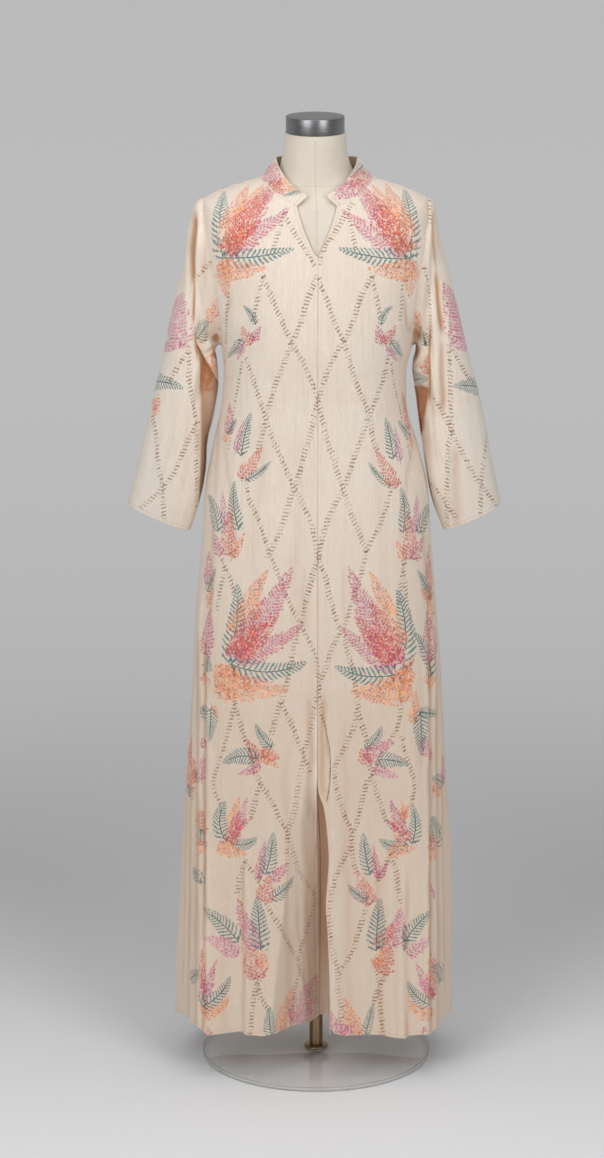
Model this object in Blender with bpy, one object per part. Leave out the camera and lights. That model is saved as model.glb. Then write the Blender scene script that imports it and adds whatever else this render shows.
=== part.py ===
"""An open-necked abaya hanging on a limbless dress form, with a pole and a round glass base.

Metres, +Z up, the front faces -Y. Each cut piece of cloth is one thin solid with its worn shape.
The wearer's left is +X.
"""

import math

import bpy
import numpy as np

# Wall of the cloth, half of the gap between two cut pieces, and room under the cloth at the shoulders.
WALL = 0.0016
HALF_GAP = 0.00016
REST_GAP = 0.0006

# Heights of named points on the side line of the body.
HEM = 0.075
UNDERARM = 1.192
SHOULDER_TIP = 1.4235
NECKLINE = 1.459
SLIT_POINT = 1.376
PLEAT_TOP = 0.640

# The centre front seam, the slit's half width at the collar, and the pleat.
CENTRE_X = 0.0016
SLIT_HALF = 0.0310
PLEAT_MOUTH = 0.0270
PLEAT_DEPTH = 0.098
PLEAT_RUN = 0.082

# How far each armhole opens from the side line, in degrees.
ARMHOLE_SPREAD = 24.0

# How many steps each grid takes.
SKIRT_ROWS = 16
ARMHOLE_STEPS = 12
YOKE_ROWS = 4
FRONT_COLUMNS = 13
BACK_COLUMNS = 20
SLEEVE_ROWS = 17
COLLAR_ROWS = 3
FORM_SIDES = 36

# Body sections. station is the height at the side line; the front and back hang lower by their drops.
BODY_COLUMNS = ("station", "drop_front", "drop_back", "half_right", "half_left",
                "front", "back", "side", "power")
BODY = (
    (0.075, 0.000, 0.000, 0.2285, 0.2200, -0.129, 0.124, -0.004, 3.3),
    (0.150, 0.000, 0.000, 0.2272, 0.2190, -0.128, 0.122, -0.004, 3.2),
    (0.250, 0.000, 0.000, 0.2226, 0.2200, -0.127, 0.120, -0.004, 3.1),
    (0.370, 0.000, 0.000, 0.2168, 0.2167, -0.126, 0.117, -0.004, 3.0),
    (0.510, 0.000, 0.000, 0.2086, 0.2085, -0.124, 0.114, -0.003, 2.8),
    (0.640, 0.000, 0.000, 0.2003, 0.2025, -0.122, 0.111, -0.002, 2.7),
    (0.760, 0.000, 0.000, 0.1950, 0.1935, -0.120, 0.108, 0.000, 2.6),
    (0.870, 0.000, 0.000, 0.1840, 0.1843, -0.118, 0.105, 0.000, 2.5),
    (0.955, 0.000, 0.000, 0.1782, 0.1783, -0.116, 0.100, 0.000, 2.4),
    (1.030, 0.000, 0.000, 0.1655, 0.1615, -0.115, 0.096, 0.000, 2.4),
    (1.100, 0.000, 0.000, 0.1512, 0.1428, -0.116, 0.094, 0.000, 2.4),
    (1.150, 0.000, 0.000, 0.1476, 0.1420, -0.118, 0.094, 0.000, 2.4),
    (1.192, 0.000, 0.000, 0.1505, 0.1508, -0.121, 0.095, 0.000, 2.4),
    (1.250, 0.000, 0.000, 0.1585, 0.1585, -0.122, 0.096, 0.000, 2.5),
    (1.300, 0.006, 0.000, 0.1665, 0.1665, -0.119, 0.095, 0.000, 2.5),
    (1.360, 0.020, 0.002, 0.1755, 0.1745, -0.112, 0.091, 0.002, 2.5),
    (1.405, 0.033, 0.004, 0.1810, 0.1780, -0.104, 0.085, 0.004, 2.4),
    (1.4235, 0.036, 0.004, 0.1780, 0.1740, -0.099, 0.080, 0.006, 2.3),
    (1.4330, 0.037, 0.002, 0.1660, 0.1630, -0.097, 0.077, 0.007, 2.2),
    (1.4430, 0.036, -0.001, 0.1440, 0.1420, -0.094, 0.073, 0.007, 2.1),
    (1.4520, 0.035, -0.005, 0.1130, 0.1130, -0.091, 0.069, 0.006, 2.0),
    (1.4590, 0.034, -0.009, 0.0870, 0.0880, -0.088, 0.065, 0.005, 2.0),
)

# Soft folds of the body. angle is from the centre front, positive to the wearer's left; height is outwards.
FOLD_COLUMNS = ("angle", "width", "top", "bottom", "height")
FOLDS = (
    (-44.0, 7.0, 0.62, 0.10, 0.0160),
    (-60.0, 9.0, 0.62, 0.10, -0.0060),
    (-76.0, 7.0, 0.70, 0.20, 0.0040),
    (44.0, 7.0, 0.78, 0.12, 0.0150),
    (36.0, 4.0, 0.36, 0.10, -0.0050),
    (61.0, 9.0, 0.80, 0.12, -0.0060),
    (77.0, 7.0, 0.70, 0.20, 0.0040),
    (-26.0, 8.0, 1.12, 0.70, 0.0020),
    (23.0, 8.0, 1.16, 0.74, -0.0020),
    (112.0, 12.0, 0.90, 0.15, 0.0060),
    (139.0, 13.0, 1.06, 0.12, -0.0080),
    (165.0, 13.0, 1.10, 0.12, 0.0080),
    (-168.0, 13.0, 1.12, 0.12, -0.0080),
    (-141.0, 13.0, 1.04, 0.12, 0.0080),
    (-114.0, 12.0, 0.92, 0.15, -0.0060),
)

# Dress form, as how far it lies inside the cloth, and its own neck above the neckline.
FORM_COLUMNS = ("station", "inset")
FORM = (
    (0.740, 0.0300),
    (0.760, 0.0250),
    (0.860, 0.0150),
    (0.955, 0.0200),
    (1.060, 0.0270),
    (1.130, 0.0200),
    (1.190, 0.0100),
    (1.250, 0.0050),
    (1.300, 0.0034),
    (1.360, 0.0024),
    (1.405, 0.0024),
    (1.459, 0.0024),
)
NECK_COLUMNS = ("rise_side", "rise_front", "rise_back", "half", "front", "back", "centre")
NECK = (
    (1.4625, 1.4330, 1.4700, 0.0740, -0.0770, 0.0600, -0.0004),
    (1.4680, 1.4430, 1.4740, 0.0640, -0.0670, 0.0560, -0.0012),
    (1.4760, 1.4560, 1.4800, 0.0570, -0.0590, 0.0520, -0.0020),
    (1.4900, 1.4780, 1.4910, 0.0530, -0.0540, 0.0490, -0.0026),
    (1.5080, 1.5030, 1.5080, 0.0500, -0.0510, 0.0470, -0.0026),
    (1.5320, 1.5320, 1.5320, 0.0480, -0.0485, 0.0465, -0.0026),
)

# Sleeve sections from shoulder to cuff, as distances from the centre line. out is the outer edge, in the
# underarm seam; fold is where the front layer turns back, and recess how deep the inner layer lies.
SLEEVE_COLUMNS = ("out_right", "out_left", "out_z", "in_right", "in_left", "in_z",
                  "front", "back", "fold", "recess")
SLEEVE = (
    (0.1900, 0.1835, 1.4200, 0.1572, 0.1568, 1.1930, -0.052, 0.046, 0.1960, 0.000),
    (0.1985, 0.1890, 1.3980, 0.1616, 0.1562, 1.1790, -0.053, 0.045, 0.1955, 0.003),
    (0.2055, 0.1960, 1.3600, 0.1572, 0.1520, 1.1540, -0.052, 0.045, 0.1950, 0.006),
    (0.2140, 0.2095, 1.3180, 0.1570, 0.1560, 1.1240, -0.051, 0.045, 0.1940, 0.010),
    (0.2280, 0.2222, 1.2600, 0.1632, 0.1615, 1.0820, -0.050, 0.044, 0.1925, 0.014),
    (0.2425, 0.2400, 1.1830, 0.1745, 0.1682, 1.0350, -0.048, 0.042, 0.1890, 0.017),
    (0.2605, 0.2595, 1.1100, 0.1775, 0.1750, 0.9900, -0.045, 0.039, 0.1880, 0.015),
    (0.2800, 0.2765, 1.0280, 0.1868, 0.1851, 0.9400, -0.041, 0.035, 0.1890, 0.010),
    (0.3018, 0.2951, 0.9343, 0.2018, 0.2028, 0.8920, -0.034, 0.029, 0.1900, 0.000),
)

# Collar, as the ring of its upper edge and the angles at which its front ends stand.
COLLAR_TOP = {"half": 0.0640, "front": -0.0800, "back": 0.0560, "side": 0.006,
              "z_side": 1.4915, "z_front": 1.4450, "z_back": 1.4850, "end_angle": 13.0}

# Stand.
CAP = {"radius": 0.0462, "bottom": 1.5325, "top": 1.558, "x": -0.0026}
FORM_BOTTOM = 0.740
POLE = {"radius": 0.0110, "bottom": 0.0127, "top": 0.7397}
FLANGE = {"radius": 0.0200, "bottom": 0.0083, "top": 0.0124}
BASE = {"radius": 0.1875, "bottom": 0.0, "top": 0.0080}

COLOURS = {
    "cotton": (0.80, 0.70, 0.56, 1.0, 0.0, 0.85),
    "jersey": (0.76, 0.70, 0.60, 1.0, 0.0, 0.80),
    "steel": (0.30, 0.30, 0.31, 1.0, 1.0, 0.30),
    "glass": (0.72, 0.78, 0.76, 0.35, 0.0, 0.05),
}


def clear_scene():
    for item in list(bpy.data.objects):
        bpy.data.objects.remove(item, do_unlink=True)


def slopes(x, y):
    """Slopes of a smooth curve through the points that doesn't overshoot them."""
    step = np.diff(x)
    rise = np.diff(y) / step
    slope = np.zeros_like(y)
    slope[0], slope[-1] = rise[0], rise[-1]
    for i in range(1, len(x) - 1):
        if rise[i - 1] * rise[i] > 0:
            before, after = 2 * step[i] + step[i - 1], step[i] + 2 * step[i - 1]
            slope[i] = (before + after) / (before / rise[i - 1] + after / rise[i])
    return slope


class Table:
    """Rows of named columns, read at any station between the first and the last."""

    def __init__(self, names, rows, key=None):
        data = np.array(rows, float)
        self.x = data[:, names.index(key)] if key else np.arange(len(rows), dtype=float)
        self.y = {name: data[:, i] for i, name in enumerate(names)}
        self.m = {name: slopes(self.x, column) for name, column in self.y.items()}

    def at(self, name, x):
        x = np.clip(np.asarray(x, float), self.x[0], self.x[-1])
        i = np.clip(np.searchsorted(self.x, x, side="right") - 1, 0, len(self.x) - 2)
        step = self.x[i + 1] - self.x[i]
        t = (x - self.x[i]) / step
        y, m = self.y[name], self.m[name]
        return ((1 + 2 * t) * (1 - t) ** 2 * y[i] + t * (1 - t) ** 2 * step * m[i]
                + t * t * (3 - 2 * t) * y[i + 1] + t * t * (t - 1) * step * m[i + 1])


BODY_TABLE = Table(BODY_COLUMNS, BODY, "station")
FORM_TABLE = Table(FORM_COLUMNS, FORM, "station")
SLEEVE_TABLE = Table(SLEEVE_COLUMNS, SLEEVE)


def ease(t):
    t = np.clip(t, 0.0, 1.0)
    return t * t * (3 - 2 * t)


def unit(v):
    return v / np.maximum(np.linalg.norm(v, axis=-1, keepdims=True), 1e-12)


def pleat_share(z):
    """0 at the top of the pleat, 1 at the hem."""
    return np.clip((PLEAT_TOP - z) / (PLEAT_TOP - HEM), 0.0, 1.0)


def mouth(z):
    """How wide the pleat opens at that height."""
    return PLEAT_MOUTH * pleat_share(z) ** 0.8


def section(angle, w):
    """The plain section of the body, with no folds. angle is in radians from the centre front."""
    read = lambda name: BODY_TABLE.at(name, w)
    s, c, power = np.sin(angle), np.cos(angle), read("power")
    round_ = (np.abs(s) ** power + np.abs(c) ** power) ** (-1 / power)
    half = np.where(s < 0, read("half_right"), read("half_left"))
    reach = np.where(c > 0, read("side") - read("front"), read("back") - read("side"))
    drop = np.where(c > 0, read("drop_front"), read("drop_back"))
    return np.stack([half * s * round_, read("side") - reach * c * round_, w - drop * c * c], axis=-1)


def body(angle, w):
    """A point of the cloth's outer face."""
    angle, w = np.broadcast_arrays(np.asarray(angle, float), np.asarray(w, float))
    p = section(angle, w)
    e = 1e-4
    side = section(angle + e, w) - section(angle - e, w)
    out = unit(np.stack([side[..., 1], -side[..., 0], 0 * side[..., 0]], axis=-1))
    degrees = np.degrees(np.arctan2(np.sin(angle), np.cos(angle)))
    height = 0.0
    for fold in FOLDS:
        f = dict(zip(FOLD_COLUMNS, fold))
        away = np.abs((degrees - f["angle"] + 180) % 360 - 180) / f["width"]
        fade = ease((f["top"] - w) / (f["top"] - f["bottom"]))
        height = height + f["height"] * np.exp(-away * away) * fade
    p = p + out * np.asarray(height)[..., None]
    share = pleat_share(w)
    run = PLEAT_RUN * np.maximum(share, 1e-6) ** 0.7
    near = np.clip(1 - (CENTRE_X - p[..., 0]) / run, 0.0, 1.0)
    back = np.where((p[..., 0] < CENTRE_X + 1e-4) & (np.cos(angle) > 0), near ** 1.15 * share * PLEAT_DEPTH, 0.0)
    return p + np.stack([0 * back, back, 0 * back], axis=-1)


def body_normal(angle, w):
    e, f = 2e-3, 4e-4
    across = body(angle + e, w) - body(angle - e, w)
    up = body(angle, np.minimum(w + f, NECKLINE)) - body(angle, np.maximum(w - f, HEM))
    return unit(np.cross(across, up))


def angle_at(x, w, sign):
    """The front angle at which the section has that distance from the centre plane."""
    low, high = np.zeros_like(w), np.full_like(w, math.radians(70))
    for _ in range(40):
        mid = (low + high) / 2
        inside = sign * section(sign * mid, w)[..., 0] < x
        low, high = np.where(inside, mid, low), np.where(inside, high, mid)
    return sign * (low + high) / 2


def armhole_w(phi):
    return UNDERARM + (SHOULDER_TIP - UNDERARM) * (1 + np.cos(phi)) / 2


def armhole_spread(phi):
    return math.radians(ARMHOLE_SPREAD) * np.abs(np.sin(phi)) ** 0.8


def stations():
    """The rows of the body, and for each its place round the armhole, or none."""
    rows, phis = [], []
    for i in range(SKIRT_ROWS):
        rows.append(HEM + (UNDERARM - HEM) * i / SKIRT_ROWS)
        phis.append(None)
    for i in range(ARMHOLE_STEPS + 1):
        phi = math.pi * (1 - i / ARMHOLE_STEPS)
        rows.append(float(armhole_w(phi)))
        phis.append(phi)
    for i in range(1, YOKE_ROWS + 1):
        rows.append(SHOULDER_TIP + (NECKLINE - SHOULDER_TIP) * i / YOKE_ROWS)
        phis.append(None)
    return np.array(rows), phis


def side_limit(phis):
    """How far from the side line the cloth of each row ends."""
    return np.array([0.0 if phi is None else float(armhole_spread(phi)) for phi in phis])


def inner_angles(w, sign):
    """The centre front edge of a front panel: seam, slit and pleat."""
    slit = SLIT_HALF * np.clip((w - SLIT_POINT) / (NECKLINE - SLIT_POINT), 0, 1)
    if sign > 0:
        x = np.maximum(CENTRE_X + mouth(w), slit)
        return angle_at(np.maximum(x, CENTRE_X), w, 1)
    x = np.where(slit > CENTRE_X, slit, -CENTRE_X)
    plus = angle_at(np.maximum(x, 1e-5), w, -1)
    minus = angle_at(np.full_like(w, CENTRE_X), w, 1)
    return np.where(x > 0, plus, minus)


def sleeve_start(phi, sign):
    """A point of the armhole and the body's outer normal there. phi runs from the shoulder by the front."""
    w, spread = armhole_w(phi), armhole_spread(phi)
    angle = sign * (math.pi / 2 - np.where(np.sin(phi) >= 0, spread, -spread))
    return body(angle, w), body_normal(angle, w)


def sleeve_rings(sign, steps, around):
    """Rings of the sleeve's outer face from the armhole to the cuff."""
    phi = 2 * math.pi * np.arange(around) / around
    start, _ = sleeve_start(phi, sign)
    name = "left" if sign > 0 else "right"
    c, s = np.cos(phi), np.sin(phi)
    round_ = (np.abs(c) ** 2.4 + np.abs(s) ** 2.4) ** (-1 / 2.4)
    hole = (start[:, 2] - start[:, 2].min()) / np.ptp(start[:, 2])
    rings = [start]
    for row, values in enumerate(SLEEVE):
        read = dict(zip(SLEEVE_COLUMNS, values))
        own = min(1.0, (row + 1) / 4)
        out = np.array([read["out_" + name], read["out_z"]])
        inner = np.array([read["in_" + name], read["in_z"]])
        along = hole + ((1 + c * round_) / 2 - hole) * own
        x = inner[0] + (out[0] - inner[0]) * along
        z = inner[1] + (out[1] - inner[1]) * along
        y = np.where(s > 0, read["front"] * s * round_, -read["back"] * s * round_)
        y = start[:, 1] + (y - start[:, 1]) * own
        turned = ease((read["fold"] - x) / 0.030 + 0.5)
        y = y + np.where(s > 0, read["recess"] * turned * ease(np.abs(s) * 2), 0.0)
        rings.append(np.stack([sign * x, y, z], axis=-1))
    rings = np.array(rings)
    knots = np.arange(len(rings), dtype=float)
    slope = np.zeros_like(rings)
    slope[1:-1] = (rings[2:] - rings[:-2]) / 2
    slope[0], slope[-1] = rings[1] - rings[0], rings[-1] - rings[-2]
    result = []
    for i in range(steps + 1):
        at = (i / steps) ** 1.15 * knots[-1]
        k = min(int(at), len(rings) - 2)
        t = at - k
        result.append((1 + 2 * t) * (1 - t) ** 2 * rings[k] + t * (1 - t) ** 2 * slope[k]
                      + t * t * (3 - 2 * t) * rings[k + 1] + t * t * (t - 1) * slope[k + 1])
    return np.array(result)


def grid_normals(grid, closed):
    """Normals of a grid of points, its rows upward and its columns anticlockwise seen from outside."""
    up = np.gradient(grid, axis=0)
    if closed:
        across = np.roll(grid, -1, axis=1) - np.roll(grid, 1, axis=1)
    else:
        across = np.gradient(grid, axis=1)
    return unit(np.cross(across, up))


def pull_in(grid, normals, sides):
    """Moves the named edges of an open grid half a gap inwards, along its surface."""
    moved = grid.copy()
    if "start" in sides:
        moved[:, 0] += HALF_GAP * inward(grid[:, 0], normals[:, 0], grid[:, 1])
    if "end" in sides:
        moved[:, -1] += HALF_GAP * inward(grid[:, -1], normals[:, -1], grid[:, -2])
    if "top" in sides:
        moved[-1] += HALF_GAP * inward(grid[-1], normals[-1], grid[-2])
    if "bottom" in sides:
        moved[0] += HALF_GAP * inward(grid[0], normals[0], grid[1])
    return moved


def inward(edge, normals, next_line):
    along = unit(np.gradient(edge, axis=0))
    across = unit(np.cross(normals, along))
    flip = np.sign(np.sum(across * (next_line - edge), axis=-1, keepdims=True))
    return across * np.where(flip == 0, 1, flip)


def make_object(name, points, faces, colour):
    mesh = bpy.data.meshes.new(name)
    mesh.from_pydata([tuple(map(float, p)) for p in points], [], [tuple(map(int, f)) for f in faces])
    mesh.validate()
    mesh.update()
    made = bpy.data.objects.new(name, mesh)
    bpy.context.scene.collection.objects.link(made)
    red, green, blue, alpha, metal, rough = COLOURS[colour]
    material = bpy.data.materials.new(name)
    material.use_nodes = True
    shader = material.node_tree.nodes["Principled BSDF"]
    shader.inputs["Base Color"].default_value = (red, green, blue, 1.0)
    shader.inputs["Metallic"].default_value = metal
    shader.inputs["Roughness"].default_value = rough
    shader.inputs["Alpha"].default_value = alpha
    mesh.materials.append(material)
    return made


def two_triangles(a, b, c, d):
    return [(a, b, c), (a, c, d)]


def sheet_solid(name, outer, normals, colour, closed=False, wall=WALL):
    """A thin solid between a grid of points and the same grid moved inwards along its normals."""
    rows, columns = outer.shape[:2]
    inner = outer - normals * wall
    points = np.concatenate([outer.reshape(-1, 3), inner.reshape(-1, 3)])
    shift = rows * columns
    at = lambda j, i: j * columns + i % columns
    faces = []
    last = columns if closed else columns - 1
    for j in range(rows - 1):
        for i in range(last):
            a, b, c, d = at(j, i), at(j, i + 1), at(j + 1, i + 1), at(j + 1, i)
            faces += two_triangles(a, b, c, d)
            faces += two_triangles(d + shift, c + shift, b + shift, a + shift)
    for i in range(last):
        a, b = at(0, i), at(0, i + 1)
        faces += two_triangles(b, a, a + shift, b + shift)
        a, b = at(rows - 1, i), at(rows - 1, i + 1)
        faces += two_triangles(a, b, b + shift, a + shift)
    if not closed:
        for j in range(rows - 1):
            a, b = at(j, 0), at(j + 1, 0)
            faces += two_triangles(a, b, b + shift, a + shift)
            a, b = at(j, columns - 1), at(j + 1, columns - 1)
            faces += two_triangles(b, a, a + shift, b + shift)
    return make_object(name, points, faces, colour)


def ring_solid(name, rings, colour):
    """A solid body through closed rings from bottom to top, its two ends closed by fans."""
    rings = np.array(rings)
    rows, columns = rings.shape[:2]
    points = [*rings.reshape(-1, 3), rings[0].mean(axis=0), rings[-1].mean(axis=0)]
    low, high = rows * columns, rows * columns + 1
    faces = []
    for j in range(rows - 1):
        for i in range(columns):
            k = (i + 1) % columns
            faces += two_triangles(j * columns + i, j * columns + k, (j + 1) * columns + k, (j + 1) * columns + i)
    for i in range(columns):
        k = (i + 1) % columns
        faces.append((low, k, i))
        faces.append((high, (rows - 1) * columns + i, (rows - 1) * columns + k))
    return make_object(name, np.array(points), faces, colour)


def seam_normals(own, other):
    """The shared direction of two walls that meet at a seam, longer where they meet at an angle."""
    mid = unit(own + other)
    return mid / np.maximum(np.sum(mid * own, axis=-1, keepdims=True), 0.6)


def spread_columns(first, last, count, bias=1.0):
    share = (np.arange(count + 1) / count) ** bias
    return first[:, None] + (last - first)[:, None] * share[None, :]


def armhole_normals(sign, count):
    """Seam directions round the armhole, in steps from the shoulder by the front."""
    phi = 2 * math.pi * np.arange(count) / count
    points, body_side = sleeve_start(phi, sign)
    rings = sleeve_rings(sign, SLEEVE_ROWS, count)
    leave = unit(rings[1] - rings[0])
    along = np.roll(points, -1, axis=0) - np.roll(points, 1, axis=0)
    sleeve_side = unit(np.cross(along, leave)) * sign
    sleeve_side *= np.sign(np.sum(sleeve_side * body_side, axis=-1, keepdims=True) + 0.35)
    return seam_normals(body_side, sleeve_side), seam_normals(sleeve_side, body_side)


def collar_ring(angle, end_low):
    """The upper edge of the collar over the neckline at that angle."""
    top = COLLAR_TOP
    end_high = math.radians(top["end_angle"])
    turned = np.abs(angle)
    turned = end_high + (turned - end_low) * (math.pi - end_high) / (math.pi - end_low)
    s, c = np.sin(turned) * np.sign(angle), np.cos(turned)
    y = top["side"] - np.where(c > 0, top["side"] - top["front"], top["back"] - top["side"]) * c
    z = top["z_side"] + np.where(c > 0, top["z_front"] - top["z_side"], top["z_back"] - top["z_side"]) * np.abs(c) ** 1.6
    return np.stack([top["half"] * s, y, z], axis=-1)


def build_body():
    w, phis = stations()
    limit = side_limit(phis)
    hole = {sign: armhole_normals(sign, 2 * ARMHOLE_STEPS)[0] for sign in (1, -1)}
    rows = len(w)
    tops = {}

    def place(normals, angles, column, sign, back):
        normals[:, column] = body_normal(angles[:, column], w)
        for j, phi in enumerate(phis):
            if phi is None:
                continue
            k = ARMHOLE_STEPS - (j - SKIRT_ROWS)
            normals[j, column] = hole[sign][(2 * ARMHOLE_STEPS - k) % (2 * ARMHOLE_STEPS) if back else k]

    def neck_turn(angles):
        points = body(angles, np.full_like(angles, NECKLINE))
        normals = body_normal(angles, np.full_like(angles, NECKLINE))
        end = abs(float(inner_angles(np.array([NECKLINE]), -1)[0]))
        rise = unit(collar_ring(angles, end) - points)
        along = np.gradient(points, axis=0)
        collar_side = unit(np.cross(along, rise))
        return seam_normals(normals, collar_side)

    for name, sign in (("front_right", -1), ("front_left", 1)):
        inner = inner_angles(w, sign)
        outer = sign * (math.pi / 2 - limit)
        angles = spread_columns(inner, outer, FRONT_COLUMNS, 1.35)
        if sign < 0:
            angles = angles[:, ::-1]
        stack = np.repeat(w[:, None], angles.shape[1], axis=1)
        grid = body(angles, stack)
        normals = grid_normals(grid, False)
        place(normals, angles, -1 if sign > 0 else 0, sign, False)
        centre = 0 if sign > 0 else -1
        seam = w > PLEAT_TOP
        normals[seam, centre] = body_normal(angles[seam, centre], w[seam])
        normals[-1] = neck_turn(angles[-1])
        tops[name] = angles[-1]
        grid = pull_in(grid, normals, ("start", "end", "top"))
        sheet_solid(name, grid, normals, "cotton")

    angles = spread_columns(math.pi / 2 + limit, 3 * math.pi / 2 - limit, BACK_COLUMNS)
    stack = np.repeat(w[:, None], angles.shape[1], axis=1)
    grid = body(angles, stack)
    normals = grid_normals(grid, False)
    place(normals, angles, 0, 1, True)
    place(normals, angles, -1, -1, True)
    normals[-1] = neck_turn(angles[-1])
    tops["back_panel"] = angles[-1]
    grid = pull_in(grid, normals, ("start", "end", "top"))
    sheet_solid("back_panel", grid, normals, "cotton")
    return tops


def build_sleeve(name, sign):
    count = 2 * ARMHOLE_STEPS
    rings = sleeve_rings(sign, SLEEVE_ROWS, count)
    if sign > 0:
        order = np.arange(count)
    else:
        order = (-np.arange(count)) % count
    rings = rings[:, order]
    normals = grid_normals(rings, True)
    seam = armhole_normals(sign, count)[1][order]
    normals[0] = seam
    first = unit(rings[1] - rings[0])
    rings = rings.copy()
    rings[0] += first * HALF_GAP * 1.5
    sheet_solid(name, rings, normals, "cotton", closed=True)


def build_collar(tops):
    back = np.mod(tops["back_panel"], 2 * math.pi)
    back = np.where(back > math.pi, back - 2 * math.pi, back)
    left, right = tops["front_left"], tops["front_right"]
    run = [*left, *np.mod(tops["back_panel"][1:-1], 2 * math.pi), *(np.mod(right, 2 * math.pi))]
    run = np.array(run)
    signed = np.where(run > math.pi, run - 2 * math.pi, run)
    end = abs(float(inner_angles(np.array([NECKLINE]), -1)[0]))
    low = body(signed, np.full_like(signed, NECKLINE))
    own = body_normal(signed, np.full_like(signed, NECKLINE))
    high = collar_ring(signed, end)
    rise = unit(high - low)
    along = np.gradient(low, axis=0)
    collar_side = unit(np.cross(along, rise))
    rows = []
    for j in range(COLLAR_ROWS + 1):
        t = j / COLLAR_ROWS
        rows.append(low + (high - low) * t)
    grid = np.array(rows)
    grid[0] += rise * HALF_GAP * 1.5
    normals = grid_normals(grid, False)
    normals[0] = seam_normals(collar_side, own)
    sheet_solid("collar_band", grid, normals, "cotton")


def build_pleat():
    """The gore behind the mouth of the front pleat: a flat back, and the wall that runs forward on one side."""
    count = 14
    low, high = HEM, PLEAT_TOP - 0.050
    rows = []
    for j in range(count + 1):
        w = low + (high - low) * j / count
        left_edge = body(angle_at(np.array([CENTRE_X]), np.array([w]), 1), np.array([w]))[0]
        angle = angle_at(np.array([CENTRE_X + float(mouth(w))]), np.array([w]), 1)
        right_edge = body(angle, np.array([w]))[0]
        deep = float(pleat_share(w)) * PLEAT_DEPTH
        width = right_edge[0] - left_edge[0]
        start = np.array([left_edge[0] + 0.0007, left_edge[1] + 0.0002, w])
        corner = np.array([right_edge[0] - 0.10 * width, left_edge[1] + 0.0020, w])
        front = np.array([right_edge[0] - 0.0004, right_edge[1] + WALL + 0.0006, w])
        line = [start, start + (corner - start) * 0.5, corner - [0.12 * width, 0, 0],
                corner + [0.06 * width, -0.10 * deep, 0]]
        for t in (0.4, 0.7, 1.0):
            line.append(line[3] + (front - line[3]) * t)
        rows.append(line)
    grid = np.array(rows)
    normals = grid_normals(grid, False)
    sheet_solid("front_pleat", grid, normals, "cotton")


def build_form():
    w, _ = stations()
    keep = w[w > FORM_BOTTOM + 0.01]
    low = np.array([FORM_BOTTOM + 0.002, FORM_BOTTOM + 0.010])
    w = np.concatenate([low, keep])
    angles = np.arange(FORM_SIDES) * 2 * math.pi / FORM_SIDES
    rings = []
    for row in w:
        p = section(angles, np.full_like(angles, row))
        e = 1e-3
        across = section(angles + e, np.full_like(angles, row)) - section(angles - e, np.full_like(angles, row))
        up = section(angles, np.full_like(angles, min(row + e, NECKLINE))) - section(angles, np.full_like(angles, row - e))
        out = unit(np.cross(across, up))
        away = np.minimum(np.abs(np.degrees(angles) - 90), np.abs(np.degrees(angles) - 270))
        inset = FORM_TABLE.at("inset", row)
        rest = REST_GAP if row >= SHOULDER_TIP - 1e-6 else inset
        inset = rest + (inset - rest) * ease(away / 18.0)
        rings.append(p - out * (WALL + np.asarray(inset))[..., None])
    bottom = rings[0].copy()
    middle = bottom.mean(axis=0)
    cap = middle + (bottom - middle) * 0.93
    cap[:, 2] = FORM_BOTTOM
    rings.insert(0, cap)
    for step in NECK:
        n = dict(zip(NECK_COLUMNS, step))
        s, c = np.sin(angles), np.cos(angles)
        y = np.where(c > 0, n["front"], -n["back"]) * c + 0.004 * np.abs(s)
        z = n["rise_side"] + np.where(c > 0, n["rise_front"] - n["rise_side"], n["rise_back"] - n["rise_side"]) * c * c
        rings.append(np.stack([n["centre"] + n["half"] * s, y, z], axis=-1))
    ring_solid("form_torso", rings, "jersey")


def round_bar(name, spec, colour, sides, bevel):
    turn = np.arange(sides) * 2 * math.pi / sides
    rings = []
    for radius, z in ((spec["radius"] - bevel, spec["bottom"]), (spec["radius"], spec["bottom"] + bevel),
                      (spec["radius"], spec["top"] - bevel), (spec["radius"] - bevel, spec["top"])):
        x = spec.get("x", 0.0) + radius * np.cos(turn)
        rings.append(np.stack([x, radius * np.sin(turn), np.full(sides, z)], axis=-1))
    ring_solid(name, rings, colour)


def main():
    clear_scene()
    tops = build_body()
    build_sleeve("sleeve_right", -1)
    build_sleeve("sleeve_left", 1)
    build_collar(tops)
    build_pleat()
    build_form()
    round_bar("neck_cap", CAP, "steel", 48, 0.0008)
    round_bar("stand_pole", POLE, "steel", 24, 0.0004)
    round_bar("stand_flange", FLANGE, "steel", 32, 0.0006)
    round_bar("stand_base", BASE, "glass", 64, 0.0010)


main()
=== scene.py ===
import math

import bpy
import numpy as np
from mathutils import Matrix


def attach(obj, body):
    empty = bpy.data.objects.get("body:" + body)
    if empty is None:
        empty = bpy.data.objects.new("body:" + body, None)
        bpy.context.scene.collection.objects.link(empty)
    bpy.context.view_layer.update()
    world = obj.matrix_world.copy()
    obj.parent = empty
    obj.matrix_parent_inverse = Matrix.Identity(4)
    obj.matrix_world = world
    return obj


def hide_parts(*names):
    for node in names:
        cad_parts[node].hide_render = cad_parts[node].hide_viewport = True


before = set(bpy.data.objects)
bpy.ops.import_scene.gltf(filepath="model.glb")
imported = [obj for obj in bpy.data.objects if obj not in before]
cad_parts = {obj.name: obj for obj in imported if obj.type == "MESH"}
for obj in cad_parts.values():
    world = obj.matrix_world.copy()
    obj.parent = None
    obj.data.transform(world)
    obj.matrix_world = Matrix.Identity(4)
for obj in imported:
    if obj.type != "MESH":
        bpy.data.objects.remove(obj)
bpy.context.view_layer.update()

# Metres, +Z up, the front faces -Y, the wearer's left is +X. A sign of 1 is the wearer's left side, -1 the right.

# ---------------------------------------------------------------- reading tables

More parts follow.
